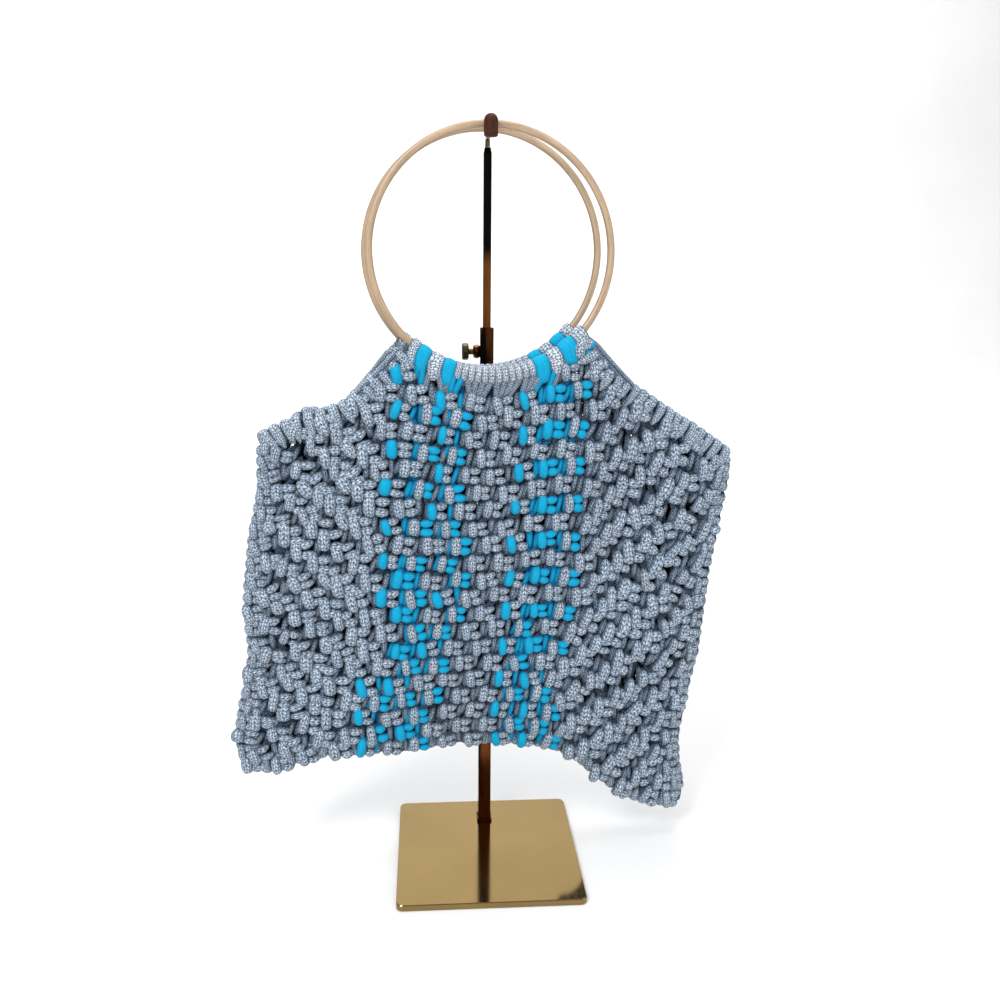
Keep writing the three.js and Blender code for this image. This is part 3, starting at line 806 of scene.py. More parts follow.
@dataclass
class PanelShape:
    """The middle surface of the two panels, from the bag's own named sizes.

    `along` runs from the left side seam (0) to the right one (1), and `up` from the bottom seam (0) to
    the mouth (1).
    """

    seam: float = 4.65
    seat: float = 90.8
    middle_columns: int = 12
    top_width: float = 350.0
    bottom_width: float = 345.0
    top_shift: float = 11.0
    bottom_shift: float = -10.5
    drop: float = 285.5
    left_shoulder: float = 62.0
    right_shoulder: float = 87.0
    sag: float = 67.0
    half_depth: float = 15.5
    fold_depth: float = 9.0
    lean_from: float = 0.78
    level_above: float = 9.0
    level_softness: float = 5.0
    corner_lean: float = 0.02
    normal_reach: float = 0.012
    right_fold: Span = (0.72, 0.69)
    right_fold_width: Span = (0.055, 0.255)
    right_fold_up: Span = (0.3, 0.62)
    left_fold: Span = (0.26, 0.29)
    left_fold_width: Span = (0.08, 0.24)
    left_fold_up: Span = (0.4, 0.75)
    left_fold_share: float = 0.35
    out: tuple[float, ...] = (0.0, 0.08, 0.16, 0.25, 0.4, 0.52, 0.65, 0.74, 0.81, 0.95, 1.0)
    left_out: tuple[float, ...] = (0.0, 0.17, 0.26, 0.395, 0.61, 0.69, 0.76, 0.8, 0.83, 0.93, 1.0)
    right_out: tuple[float, ...] = (
        0.0, 0.222, 0.285, 0.355, 0.487, 0.59, 0.695, 0.765, 0.825, 0.955, 1.0
    )
    rear_left_more: tuple[float, ...] = (0.0, 0.11, 0.12, 0.12, 0.1, 0.04, -0.05, 0.0, 0.06, 0.04, 0.0)
    rear_right_more: tuple[float, ...] = (0.0, 0.02, 0.02, 0.01, 0.01, 0.01, 0.01, 0.01, 0.01, 0.0, 0.0)

    def __post_init__(self) -> None:
        """Reads the tables into smooth profiles."""
        places = list(self.out)
        self.left_drop = Profile(places, list(self.left_out), 0.02)
        self.right_drop = Profile(places, list(self.right_out), 0.02)
        self.rear_left = Profile(places, list(self.rear_left_more), 0.02)
        self.rear_right = Profile(places, list(self.rear_right_more), 0.02)
        self.bottom = Profile(
            [0.0, 0.03, 0.07, 0.12, 0.17, 0.33, 0.46, 0.57, 0.67, 0.73, 0.77, 0.82, 0.88, 0.94, 1.0],
            [0.05, 0.14, 0.125, 0.03, -0.01, 0.01, -0.06, -0.01, 0.08, 0.24, 0.43, 0.67, 0.885, 1.0,
             0.93],
            0.02,
        )
        heights = [0.0, 0.05, 0.1, 0.19, 0.27, 0.36, 0.44, 0.53, 0.69, 0.85, 0.93, 1.0]
        self.left_edge = Profile(
            heights, [0.0, 0.02, 0.03, 0.024, 0.014, 0.006, 0.014, 0.02, 0.013, -0.004, 0.0, 0.0], 0.02
        )
        self.right_edge = Profile(
            heights,
            [0.0, 0.006, -0.009, -0.025, -0.022, -0.016, -0.006, -0.006, -0.006, 0.003, 0.009, 0.0],
            0.02,
        )
        shares = [0.0, 0.06, 0.2, 0.33, 0.5, 0.68, 0.82, 0.94, 1.0]
        self.fullness = {
            Side.FRONT: Profile(shares, [0.0, 0.22, 0.6, 0.95, 1.0, 1.0, 0.8, 0.3, 0.0], 0.03),
            Side.REAR: Profile(shares, [0.0, 0.2, 0.55, 0.9, 1.0, 0.95, 0.65, 0.22, 0.0], 0.03),
        }
        self.fullness_up = Profile(
            [0.0, 0.05, 0.14, 0.32, 0.75, 1.0], [0.0, 0.42, 0.8, 1.0, 1.05, 1.0], 0.02
        )

    def seat_radius(self, side: Side) -> float:
        """Finds how far below the hoop's centre the mouth lies under the wound cords.

        Args:
            side: the panel.

        Returns:
            The distance from the hoop's centre to the top edge.
        """
        wraps = HOOPS[side].wraps
        half_step = math.radians(wraps[-1] - wraps[0]) / self.middle_columns / 2.0
        return self.seat / math.cos(half_step)

    def share_at(self, side: Side, angle: float) -> float:
        """The share of the width under a place on the hoop, given in degrees from its lowest point."""
        point = HOOPS[side].at(np.array([angle]), np.array([self.seat_radius(side)]))[0]
        return 0.5 + (point[0] - self.top_shift) / self.top_width

    def top(self, side: Side, along: np.ndarray) -> np.ndarray:
        """The top edge: round the hoop under the wraps, and down the shoulders beyond them.

        Args:
            side: the panel.
            along: shares of the bag's width.

        Returns:
            Points in the bag's own frame.
        """
        hoop, front = HOOPS[side], HOOPS[Side.FRONT]
        radius = self.seat_radius(side)
        x = self.top_shift + (along - 0.5) * self.top_width
        lean = math.sin(math.radians(hoop.lean)) * math.sin(math.radians(hoop.turn))
        angle = np.zeros_like(x)
        for _ in range(3):
            drop = hoop.radius + radius * np.cos(angle)
            flat = (x - hoop.across - drop * lean) / math.cos(math.radians(hoop.turn))
            angle = np.arcsin(np.clip(flat / radius, -1.0, 1.0))
        arc = hoop.at(np.degrees(angle), np.full_like(x, radius))
        ends = hoop.at(np.array([hoop.wraps[0], hoop.wraps[-1]]), np.full(2, radius))
        front_ends = front.at(
            np.array([front.wraps[0], front.wraps[-1]]), np.full(2, self.seat_radius(Side.FRONT))
        )
        shoulders = []
        for index, (share, more, fall) in enumerate(
            [(self.left_drop, self.rear_left, self.left_shoulder),
             (self.right_drop, self.rear_right, self.right_shoulder)]
        ):
            end = ends[index]
            corner = self.top_shift + (index - 0.5) * self.top_width
            out = np.clip((x - end[0]) / (corner - end[0]), 0.0, 1.0)
            part = share.at(out) + (more.at(out) if side is Side.REAR else 0.0)
            part = part * smooth_step(0.0, self.corner_lean, out)
            z = end[2] + (front_ends[index][2] - fall - end[2]) * part
            y = end[1] + (side.value * self.seam - end[1]) * smooth_step(0.0, 1.0, out)
            shoulders.append(xyz(x, y, z))
        edge = np.where((x < ends[0][0])[..., None], shoulders[0], arc)
        return np.where((x > ends[1][0])[..., None], shoulders[1], edge)

    def fold(self, along: np.ndarray, up: np.ndarray) -> np.ndarray:
        """Finds how far the two upright folds set the front panel back.

        Args:
            along: shares of the width.
            up: shares of the height.

        Returns:
            Shares of the fold depth.
        """
        right = along - (self.right_fold[0] + (self.right_fold[1] - self.right_fold[0]) * up)
        left = self.left_fold[0] + (self.left_fold[1] - self.left_fold[0]) * up - along
        strong, soft = (
            smooth_step(0.0, width[0], beyond) * (1.0 - smooth_step(*width, beyond))
            for width, beyond in ((self.right_fold_width, right), (self.left_fold_width, left))
        )
        lifted = self.left_fold_share * soft * smooth_step(*self.left_fold_up, up)
        return strong * smooth_step(*self.right_fold_up, up) + lifted

    def middle(self, side: Side, along: np.ndarray, up: np.ndarray) -> np.ndarray:
        """The middle of a panel's wall.

        Args:
            side: the panel.
            along: shares of the width.
            up: shares of the height.

        Returns:
            Points in the bag's own frame.
        """
        held = np.clip(along, 0.0, 1.0)
        top = self.top(side, held)
        centre_top = self.top(Side.FRONT, np.array([0.5 - self.top_shift / self.top_width]))[0, 2]
        bottom_x = self.bottom_shift + (held - 0.5) * self.bottom_width
        bottom_z = centre_top - self.drop - self.sag * self.bottom.at(held)
        height = np.clip(up, -0.2, 1.2)
        bulge = self.right_edge.at(height) * held**2 - self.left_edge.at(height) * (1.0 - held) ** 2
        x = bottom_x + (top[..., 0] - bottom_x) * height + bulge * self.top_width
        x = x + (along - held) * self.top_width
        z = bottom_z + (top[..., 2] - bottom_z) * height
        full = self.fullness[side].at(held) * self.fullness_up.at(height)
        offset = self.seam + (self.half_depth - self.seam) * full
        if side is Side.FRONT:
            offset = np.maximum(offset - self.fold_depth * self.fold(held, height), self.seam)
        lean = smooth_step(self.lean_from, 1.0, height)
        y = side.value * offset * (1.0 - lean) + top[..., 1] * lean
        return xyz(x, y, z)

    def row_share(self, side: Side, along: np.ndarray, rows_down: np.ndarray) -> np.ndarray:
        """The share of the height at which rows of knots stand.

        Rows are level under the handle and run down the shoulders beside it.

        Args:
            side: the panel.
            along: shares of the width.
            rows_down: how far down the rows are, from 0 at the level mouth to 1 at the bottom seam.

        Returns:
            The shares of the height.
        """
        held = np.clip(along, 0.0, 1.0)
        top = self.top(side, held)[..., 2]
        centre_top = self.top(Side.FRONT, np.array([0.5 - self.top_shift / self.top_width]))[0, 2]
        bottom = centre_top - self.drop - self.sag * self.bottom.at(held)
        level = centre_top + self.level_above
        soft = self.level_softness
        first = level - soft * np.logaddexp(0.0, (level - top) / soft)
        return (first - bottom) / (top - bottom) * (1.0 - rows_down)

    def placed(self, side: Side, along: np.ndarray, up: np.ndarray, proud: np.ndarray) -> np.ndarray:
        """Points that stand proud of the middle surface, in the bag's own frame.

        Args:
            side: the panel.
            along: shares of the width.
            up: shares of the height.
            proud: distance outward.

        Returns:
            The points.
        """
        reach = self.normal_reach
        base = self.middle(side, along, up)
        right = self.middle(side, along + reach, up) - self.middle(side, along - reach, up)
        rise = self.middle(side, along, up + reach) - self.middle(side, along, up - reach)
        outward = unit(np.cross(right, rise)) * -side.value
        return base + outward * proud[..., None]


# Knots


@dataclass(frozen=True)
class StripeChange:
    """From a row down, which strands are turquoise."""

    row: int
    turquoise: frozenset[int]


@dataclass
class KnotDetail:
    """How finely a panel's knots are made."""

    ring_steps: int = 16
    ring_sides: int = 10
    turn_steps: int = 9
    turn_sides: int = 10
    strand_steps: int = 7
    strand_sides: int = 8
    link_steps: int = 3
    back_steps: int = 4
    back_sides: int = 6


@dataclass(frozen=True)
class KnotForm:
    """The sizes of a knot's parts in millimetres, measured from the knot's middle.

    Shares of a size have names that end in `_share`, and powers have names that end in `_power`.
    """

    bar_middle: float = 1.7
    bar_reach: float = 3.4
    bar_set_back: float = 0.2
    bar_bulge: float = 2.7
    bar_lift: float = 2.95
    bar_spread_share: float = 0.14
    bar_half: float = 3.1
    bar_end_share: float = 0.6
    bar_depth_share: float = 0.88
    oval_middle: float = -4.5
    oval_curl: float = 1.3
    oval_front: float = 3.9
    oval_tuck: float = 6.4
    oval_tuck_power: float = 2.4
    oval_rise: float = 5.2
    oval_half: float = 3.45
    oval_end_share: float = 0.5
    oval_depth_share: float = 0.82
    strand_half: float = 2.35
    strand_aside: float = 8.0
    strand_shift: float = 0.2
    strand_slant: float = 1.1
    strand_tuck: float = 2.8
    strand_rise: float = 8.0
    back_aside: float = 9.8
    back_slant: float = 1.2
    back_set_back: float = 2.6
    back_rise: float = 9.6
    back_half: float = 3.0
    back_depth_share: float = 0.7
    link_aside: float = 3.6
    link_tuck: float = 1.2
    link_start: float = 4.0
    link_rise: float = 4.2


@dataclass
class KnottedPanel:
    """One panel of alternating square knots.

    Strands are numbered from the left seam, and four make a knot: the outer two are tied round the
    inner two. One of the outer two shows as two short bars, one above the other, and the other one as
    an upright oval beside them.
    """

    side: Side
    shape: PanelShape
    place: BagPlace
    detail: KnotDetail
    form: KnotForm = KnotForm()
    columns: int = 17
    first_row: int = -3
    last_row: int = 21
    row_count: float = 21.6
    unit_width: float = 19.6
    unit_height: float = 12.6
    # Near the mouth, the knots beside the right stripe are drawn a little to the left.
    drawn_column: float = 10.6
    drawn_reach: float = 2.6
    drawn_in: float = 0.3
    drawn_rows: float = 9.0
    wing_growth: float = 0.16
    growth_starts: Span = (0.25, 0.6)
    growth_ends: Span = (0.72, 0.95)
    # In every other row, the outermost knots stand this many columns inside the seams.
    edge_column: float = 0.38
    edge_inset: float = 0.008
    top_inset: float = 0.008
    # Knots stand at least this far below the mouth, and further under the shoulders.
    clearance: float = 5.0
    shoulder_clearance: float = 6.5
    edge_squeeze: float = 0.72
    slope_followed: float = 0.45
    # The row before which each grey piece ends.
    bands: tuple[int, ...] = (8, 15, 22)
    stripes: tuple[StripeChange, ...] = (
        StripeChange(-9, frozenset({21, 22, 26, 27, 39, 40, 43, 44})),
        StripeChange(9, frozenset({21, 22, 26, 28, 39, 40, 43, 44})),
        StripeChange(11, frozenset({20, 21, 22, 23, 28, 29, 39, 40, 43, 44})),
        StripeChange(14, frozenset({20, 22, 23, 26, 27, 38, 39, 40, 43, 44})),
        StripeChange(17, frozenset({18, 19, 22, 23, 26, 38, 39, 42, 43})),
        StripeChange(19, frozenset({18, 19, 22, 24, 25, 38, 39, 42, 43, 44})),
    )
    seed: int = 7
    # The first parts in `build` keep their round shape, and the later ones bend with the panel.
    plump_parts: int = 3
    # How far each part of a knot moves on its own, and the wobble that changes nothing.
    own_share: float = 0.55
    still: tuple[float, ...] = (0.0, 1.0, 1.0, 0.0, 0.0)
    wide_range: Span = (0.85, 1.12)
    high_range: Span = (0.8, 1.2)
    shade_range: Span = (-2.0, 5.0)
    strand_pitch: float = 2.9
    hanger_start: float = 1.008
    hanger_stop: float = 0.99
    hanger_below: float = 4.4
    hanger_front: float = 1.6
    hanger_tuck: float = 2.2
    hanger_swell: float = 1.08
    hanger_shade: float = 0.75
    most_draw: float = 1.8
    middle_loose: float = 0.85
    wing_loose: float = 0.6
    wing_range: Span = (0.3, 0.8)
    edge_zone: float = 0.45
    edge_loose: float = 0.4
    tilt_spread: float = 0.15
    size_spread: float = 0.08
    move_spread: float = 0.8

    def knot_list(self) -> np.ndarray:
        """Lists the knots that lie below the mouth and between the seams.

        Returns:
            One line for each knot: its row, its place in columns and its first strand.
        """
        knots = []
        for row in range(self.first_row, self.last_row + 1):
            if row % 2 == 0:
                knots += [(row, column, 4 * column - 2) for column in range(1, self.columns)]
                knots.append((row, self.edge_column, -2))
                knots.append((row, self.columns - self.edge_column, 4 * self.columns - 2))
            else:
                knots += [(row, column + 0.5, 4 * column) for column in range(self.columns)]
        every = np.array(knots, dtype=float)
        near = np.exp(-(((every[:, 1] - self.drawn_column) / self.drawn_reach) ** 2))
        every[:, 1] -= self.drawn_in * near * (1.0 - smooth_step(0.0, self.drawn_rows, every[:, 0]))
        along = every[:, 1] / self.columns
        height = self.shape.middle(self.side, along, self.up_of(every[:, 0], along))[:, 2]
        top = self.shape.top(self.side, along)[:, 2]
        wraps = HOOPS[self.side].wraps
        low, high = (self.shape.share_at(self.side, angle) for angle in (wraps[1], wraps[-2]))
        clearance = np.where((along > low) & (along < high), self.clearance, self.shoulder_clearance)
        return every[height < top - clearance]

    def is_turquoise(self, row: np.ndarray, strand: np.ndarray) -> np.ndarray:
        """Finds the colour of each strand at its row.

        Args:
            row: rows of knots.
            strand: numbers of strands, one for each row.

        Returns:
            Whether each is turquoise.
        """
        answers = np.zeros(len(row), dtype=bool)
        for change in self.stripes:
            here = row >= change.row
            answers[here] = np.isin(strand[here], list(change.turquoise))
        return answers

    def up_of(self, row: np.ndarray, along: np.ndarray) -> np.ndarray:
        """The share of the height at which a row stands at a share of the width."""
        return self.shape.row_share(self.side, along, row / self.row_count)

    @staticmethod
    def jostled(
        points: np.ndarray, wobble: np.ndarray,
        wide: np.ndarray | float = 1.0, high: np.ndarray | float = 1.0,
    ) -> np.ndarray:
        """Knot shapes with each knot's own differences.

        Args:
            points: points round each knot in millimetres: across, outward and up.
            wobble: each knot's tilt, width and height shares, and small moves across and up.
            wide: one more width share for each knot.
            high: one more height share for each knot.

        Returns:
            The points round each knot's own middle.
        """
        shape = (len(wobble),) + (1,) * (points.ndim - 2)
        tilt, aside, lift = (wobble[:, index].reshape(shape) for index in (0, 3, 4))
        x = points[..., 0] * (wobble[:, 1] * wide).reshape(shape)
        z = points[..., 2] * (wobble[:, 2] * high).reshape(shape)
        across = x * np.cos(tilt) - z * np.sin(tilt) + aside
        return xyz(across, points[..., 1], x * np.sin(tilt) + z * np.cos(tilt) + lift)

    def settled(self, knots: np.ndarray, points: np.ndarray, wobble: np.ndarray) -> np.ndarray:
        """Sets knot-sized shapes on the panel.

        Args:
            knots: the knots, as `knot_list` gives them.
            points: points round each knot in millimetres: across, outward and up.
            wobble: each knot's tilt, width and height shares, and small moves across and up.

        Returns:
            The points in the row frame.
        """
        shape = (len(knots),) + (1,) * (points.ndim - 2)
        across, _, rise = np.moveaxis(self.jostled(points, wobble), -1, 0)
        mirror = -self.side.value
        along = (knots[:, 1].reshape(shape) + mirror * across / self.unit_width) / self.columns
        along = np.clip(along, self.edge_inset, 1.0 - self.edge_inset)
        up = self.up_of(knots[:, 0].reshape(shape) - rise / self.unit_height, along)
        up = np.clip(up, self.top_inset, 1.0 - self.top_inset)
        set_down = self.shape.placed(self.side, along, up, points[..., 1])
        return self.place.to_row(set_down)

    def set_rigid(self, knots: np.ndarray, points: np.ndarray, wobble: np.ndarray) -> np.ndarray:
        """Sets plump knot shapes on the panel without bending them.

        Args:
            knots: the knots, as `knot_list` gives them.
            points: points round each knot in millimetres: across, outward and up.
            wobble: each knot's tilt, width and height shares, and small moves across and up.

        Returns:
            The points in the row frame.
        """
        along, row = knots[:, 1] / self.columns, knots[:, 0]
        mirror = -self.side.value
        reach_x, reach_z = 0.5 / self.columns, 0.5

        def spot(aside: float, down: float) -> np.ndarray:
            """The knots' middles, moved by shares of the width and by rows."""
            place = along + aside
            return self.shape.middle(self.side, place, self.up_of(row + down, place))

        # Half a knot's width and height to each side gives the panel's own directions here.
        right = (spot(reach_x, 0.0) - spot(-reach_x, 0.0)) * mirror
        rise = spot(0.0, -reach_z) - spot(0.0, reach_z)
        wide = np.clip(np.linalg.norm(right, axis=1) / self.unit_width, *self.wide_range)
        high = np.clip(np.linalg.norm(rise, axis=1) / self.unit_height, *self.high_range)
        outward = unit(np.cross(right, rise))
        level = right * [1.0, 1.0, self.slope_followed]
        level = unit(level - outward * np.sum(level * outward, axis=1, keepdims=True))
        upright = unit(np.cross(outward, level))
        beside = np.abs(along - 0.5) * 2.0
        inside_edge = 1.0 - smooth_step(*self.growth_ends, beside)
        grown = 1.0 + self.wing_growth * smooth_step(*self.growth_starts, beside) * inside_edge
        shape = (len(knots),) + (1,) * (points.ndim - 2)
        across, front, lift = np.moveaxis(self.jostled(points, wobble, wide * grown, high * grown), -1, 0)
        middle, level, outward, upright = (
            vectors.reshape((*shape, 3)) for vectors in (spot(0.0, 0.0), level, outward, upright)
        )
        set_down = (
            middle + level * across[..., None]
            + outward * (front * grown.reshape(shape))[..., None]
            + upright * lift[..., None]
        )
        return self.place.to_row(set_down)

    def bars(self, count: int, lift: float) -> Sweep:
        """Closed rings of cord round the two inner strands, at a height from the knot's middle.

        Args:
            count: how many knots there are.
            lift: height from the middle of the knot.

        Returns:
            The rings round each knot's own middle.
        """
        turn = np.linspace(0.0, 2.0 * math.pi, self.detail.ring_steps, endpoint=False)
        form = self.form
        path = xyz(
            form.bar_middle + form.bar_reach * np.cos(turn),
            -form.bar_set_back + form.bar_bulge * np.sin(turn),
            lift * (1.0 + form.bar_spread_share * np.cos(turn)),
        )
        half = form.bar_half * (form.bar_end_share + (1.0 - form.bar_end_share) * np.sin(turn) ** 2)
        depth, aside = half * form.bar_depth_share, (0.0, 0.0, 1.0)
        return self.repeated(count, path, half, depth, aside, self.detail.ring_sides, True)

    def ovals(self, count: int) -> Sweep:
        """The upright turn of cord on each knot's left.

        Args:
            count: how many knots there are.

        Returns:
            The turns round each knot's own middle.
        """
        steps, form = np.linspace(-1.0, 1.0, self.detail.turn_steps), self.form
        path = xyz(
            form.oval_middle + form.oval_curl * steps**4,
            form.oval_front - form.oval_tuck * np.abs(steps) ** form.oval_tuck_power,
            form.oval_rise * np.sin(steps * math.pi / 2.0),
        )
        half = form.oval_half * (1.0 - form.oval_end_share * np.abs(steps) ** 3)
        depth, aside = half * form.oval_depth_share, (1.0, 0.0, 0.0)
        return self.repeated(count, path, half, depth, aside, self.detail.turn_sides)

    def passing(self, count: int, direction: int) -> Sweep:
        """The strand that runs down one side of each knot, from the row above to the row below.

        Args:
            count: how many knots there are.
            direction: -1 for the left side, 1 for the right.

        Returns:
            The strands round each knot's own middle.
        """
        steps, form = np.linspace(-1.0, 1.0, self.detail.strand_steps), self.form
        path = xyz(
            direction * form.strand_aside + form.strand_shift - form.strand_slant * steps,
            form.strand_shift - form.strand_tuck * steps**2,
            -form.strand_rise * steps,
        )
        half = form.strand_half * tapered(steps, 1.06, 5)
        return self.repeated(count, path, half, half, (1.0, 0.0, 0.0), self.detail.strand_sides)

    def behind(self, count: int) -> Sweep:
        """The strand that crosses behind the gap on each knot's right, from row to row.

        Args:
            count: how many knots there are.

        Returns:
            The strands round each knot's own middle.
        """
        steps, form = np.linspace(-1.0, 1.0, self.detail.back_steps), self.form
        path = xyz(
            form.back_aside + form.back_slant * steps, -form.back_set_back, -form.back_rise * steps
        )
        half = np.full_like(steps, form.back_half)
        depth, aside = half * form.back_depth_share, (1.0, 0.0, 0.0)
        return self.repeated(count, path, half, depth, aside, self.detail.back_sides)

    def links(self, count: int, direction: int, upward: int) -> Sweep:
        """The short strand between a knot's inner strand and the outer strand of the next row's knot.

        Args:
            count: how many knots there are.
            direction: -1 for the left side, 1 for the right.
            upward: 1 above the knot, -1 below it.

        Returns:
            The strands round each knot's own middle.
        """
        steps, form = np.linspace(0.0, 1.0, self.detail.link_steps), self.form
        path = xyz(
            direction * (form.bar_middle + form.link_aside * steps),
            -form.bar_set_back - form.link_tuck * steps,
            upward * (form.link_start + form.link_rise * steps),
        )
        half = np.full_like(steps, form.strand_half)
        return self.repeated(count, path, half, half, (0.0, 1.0, 0.0), self.detail.back_sides)

    def hangers(self, knots: np.ndarray) -> tuple[Sweep, np.ndarray]:
        """The strands that hang from the wound cords to the first knots.

        Args:
            knots: the panel's knots.

        Returns:
            The strands in the row frame, and their numbers.
        """
        wraps = HOOPS[self.side].wraps
        low, high = (self.shape.share_at(self.side, angle) for angle in (wraps[0], wraps[-1]))
        steps = np.linspace(0.0, 1.0, self.detail.strand_steps)
        paths, numbers = [], []
        for strand in range(4 * self.columns):
            start = (strand + 0.5) / (4 * self.columns)
            mine = knots[(knots[:, 2] <= strand) & (strand < knots[:, 2] + 4)]
            first = mine[np.argmin(mine[:, 0])]
            place_in_knot = (strand - first[2] - 1.5) * self.strand_pitch
            stop = (first[1] + place_in_knot / self.unit_width) / self.columns
            top_up = self.up_of(first[0:1] - self.hanger_below / self.unit_height, np.array([stop]))[0]
            if not low < start < high or top_up > self.hanger_stop:
                continue
            along = start + (stop - start) * smooth_step(0.0, 1.0, steps)
            up = self.hanger_start + (top_up - self.hanger_start) * steps
            proud = self.hanger_front - self.hanger_tuck * steps**2
            paths.append(self.shape.placed(self.side, along, up, proud))
            numbers.append(strand)
        path = self.place.to_row(np.array(paths))
        half = np.full(path.shape[:2], self.form.strand_half * self.hanger_swell)
        aside = np.tile([1.0, 0.0, 0.0], (len(path), 1))
        sweep = Sweep.along(path, half, half, aside, self.detail.strand_sides)
        # Painted shade: the hanging strands are coloured darker all along.
        return sweep.shaded(sweep.proud * self.hanger_shade), np.array(numbers)

    def repeated(
        self, count: int, path: np.ndarray, widths: np.ndarray, depths: np.ndarray,
        aside: Triple, sides: int, closed: bool = False,
    ) -> Sweep:
        """The same tube once for each knot.

        Args:
            count: how many knots there are.
            path: points round the knot's middle.
            widths: half widths across `aside` at each point.
            depths: half widths at right angles to that.
            aside: a direction that the path never follows.
            sides: how many sides the section has.
            closed: whether the path returns to its start.

        Returns:
            The tubes.
        """
        one = Sweep.along(path[None], widths[None], depths[None], np.array([aside]), sides, closed)
        # Painted shade: the parts of a knot that lie deeper are darker.
        proud = one.proud * smooth_step(*self.shade_range, one.points[..., 1])
        return Sweep(
            np.repeat(one.points, count, axis=0), np.repeat(one.uv, count, axis=0), closed,
            np.repeat(proud, count, axis=0),
        )

    def wobbles(self, knots: np.ndarray, part: int = 0) -> np.ndarray:
        """Small differences between knots, as hand knotting gives, larger in the two wings.

        Args:
            knots: the knots.
            part: 0 for the whole knot, or the number of one of its parts.

        Returns:
            Tilt, width and height shares, and moves across and up, for each knot.
        """
        chance = np.random.default_rng(self.seed + self.side.value + 10 * part)
        draw = chance.normal(0.0, 1.0, (len(knots), 5)).clip(-self.most_draw, self.most_draw)
        wing = np.abs(knots[:, 1] / self.columns - 0.5) * 2.0
        loose = self.middle_loose + self.wing_loose * smooth_step(*self.wing_range, wing)
        edge = np.abs(knots[:, 1] - self.columns / 2.0) > self.columns / 2.0 - self.edge_zone
        loose = np.where(edge, self.edge_loose, loose)
        squeeze = np.where(edge & (part == 0), self.edge_squeeze, 1.0)
        return np.stack(
            [
                draw[:, 0] * self.tilt_spread * loose,
                squeeze + draw[:, 1] * self.size_spread * loose,
                1.0 + draw[:, 2] * self.size_spread * loose,
                draw[:, 3] * self.move_spread * loose,
                draw[:, 4] * self.move_spread * loose,
            ],
            axis=-1,
        )

    def build(self, finishes: dict[Cord, bpy.types.Material]) -> None:
        """Makes the panel's pieces: grey knots in bands of rows, and all turquoise cord in one.

        Args:
            finishes: the material of each kind of cord.
        """
        knots = self.knot_list()
        wobble = self.wobbles(knots)
        count = len(knots)
        row, strand = knots[:, 0].astype(int), knots[:, 2].astype(int)
        # Each part with its strand's number in the knot, which sets its colour.
        parts = [
            (self.bars(count, self.form.bar_lift), 0),
            (self.bars(count, -self.form.bar_lift), 0),
            (self.ovals(count), 3),
            (self.passing(count, -1), 0),
            (self.passing(count, 1), 3),
            (self.links(count, -1, 1), 1),
            (self.links(count, 1, 1), 2),
            (self.links(count, -1, -1), 1),
            (self.links(count, 1, -1), 2),
            (self.behind(count), 3),
        ]
        hanging, numbers = self.hangers(knots)
        bright = self.is_turquoise(np.full(len(numbers), self.first_row), numbers)
        grey: list[list[Sweep]] = [[] for _ in self.bands]
        grey[0].append(hanging.picked(~bright))
        turquoise = [hanging.picked(bright)]
        for index, (sweep, which) in enumerate(parts):
            setter = self.set_rigid if index < self.plump_parts else self.settled
            own = wobble + (self.wobbles(knots, index + 1) - self.still) * self.own_share
            set_down = sweep.moved(setter(knots, sweep.points, own))
            bright = self.is_turquoise(row, strand + (which if self.side is Side.FRONT else 3 - which))
            turquoise.append(set_down.picked(bright))
            low = self.first_row
            for band, high in zip(grey, self.bands):
                band.append(set_down.picked(~bright & (row >= low) & (row < high)))
                low = high
        pieces = [(f"grey_knots_{index + 1}", band, Cord.GREY) for index, band in enumerate(grey)]
        pieces.append(("turquoise_knots", turquoise, Cord.TURQUOISE))
        label = self.side.label
        for name, sweeps, cord in pieces:
            add_piece(f"{label}_{name}", sweeps, finishes[cord], f"panel_{label}")


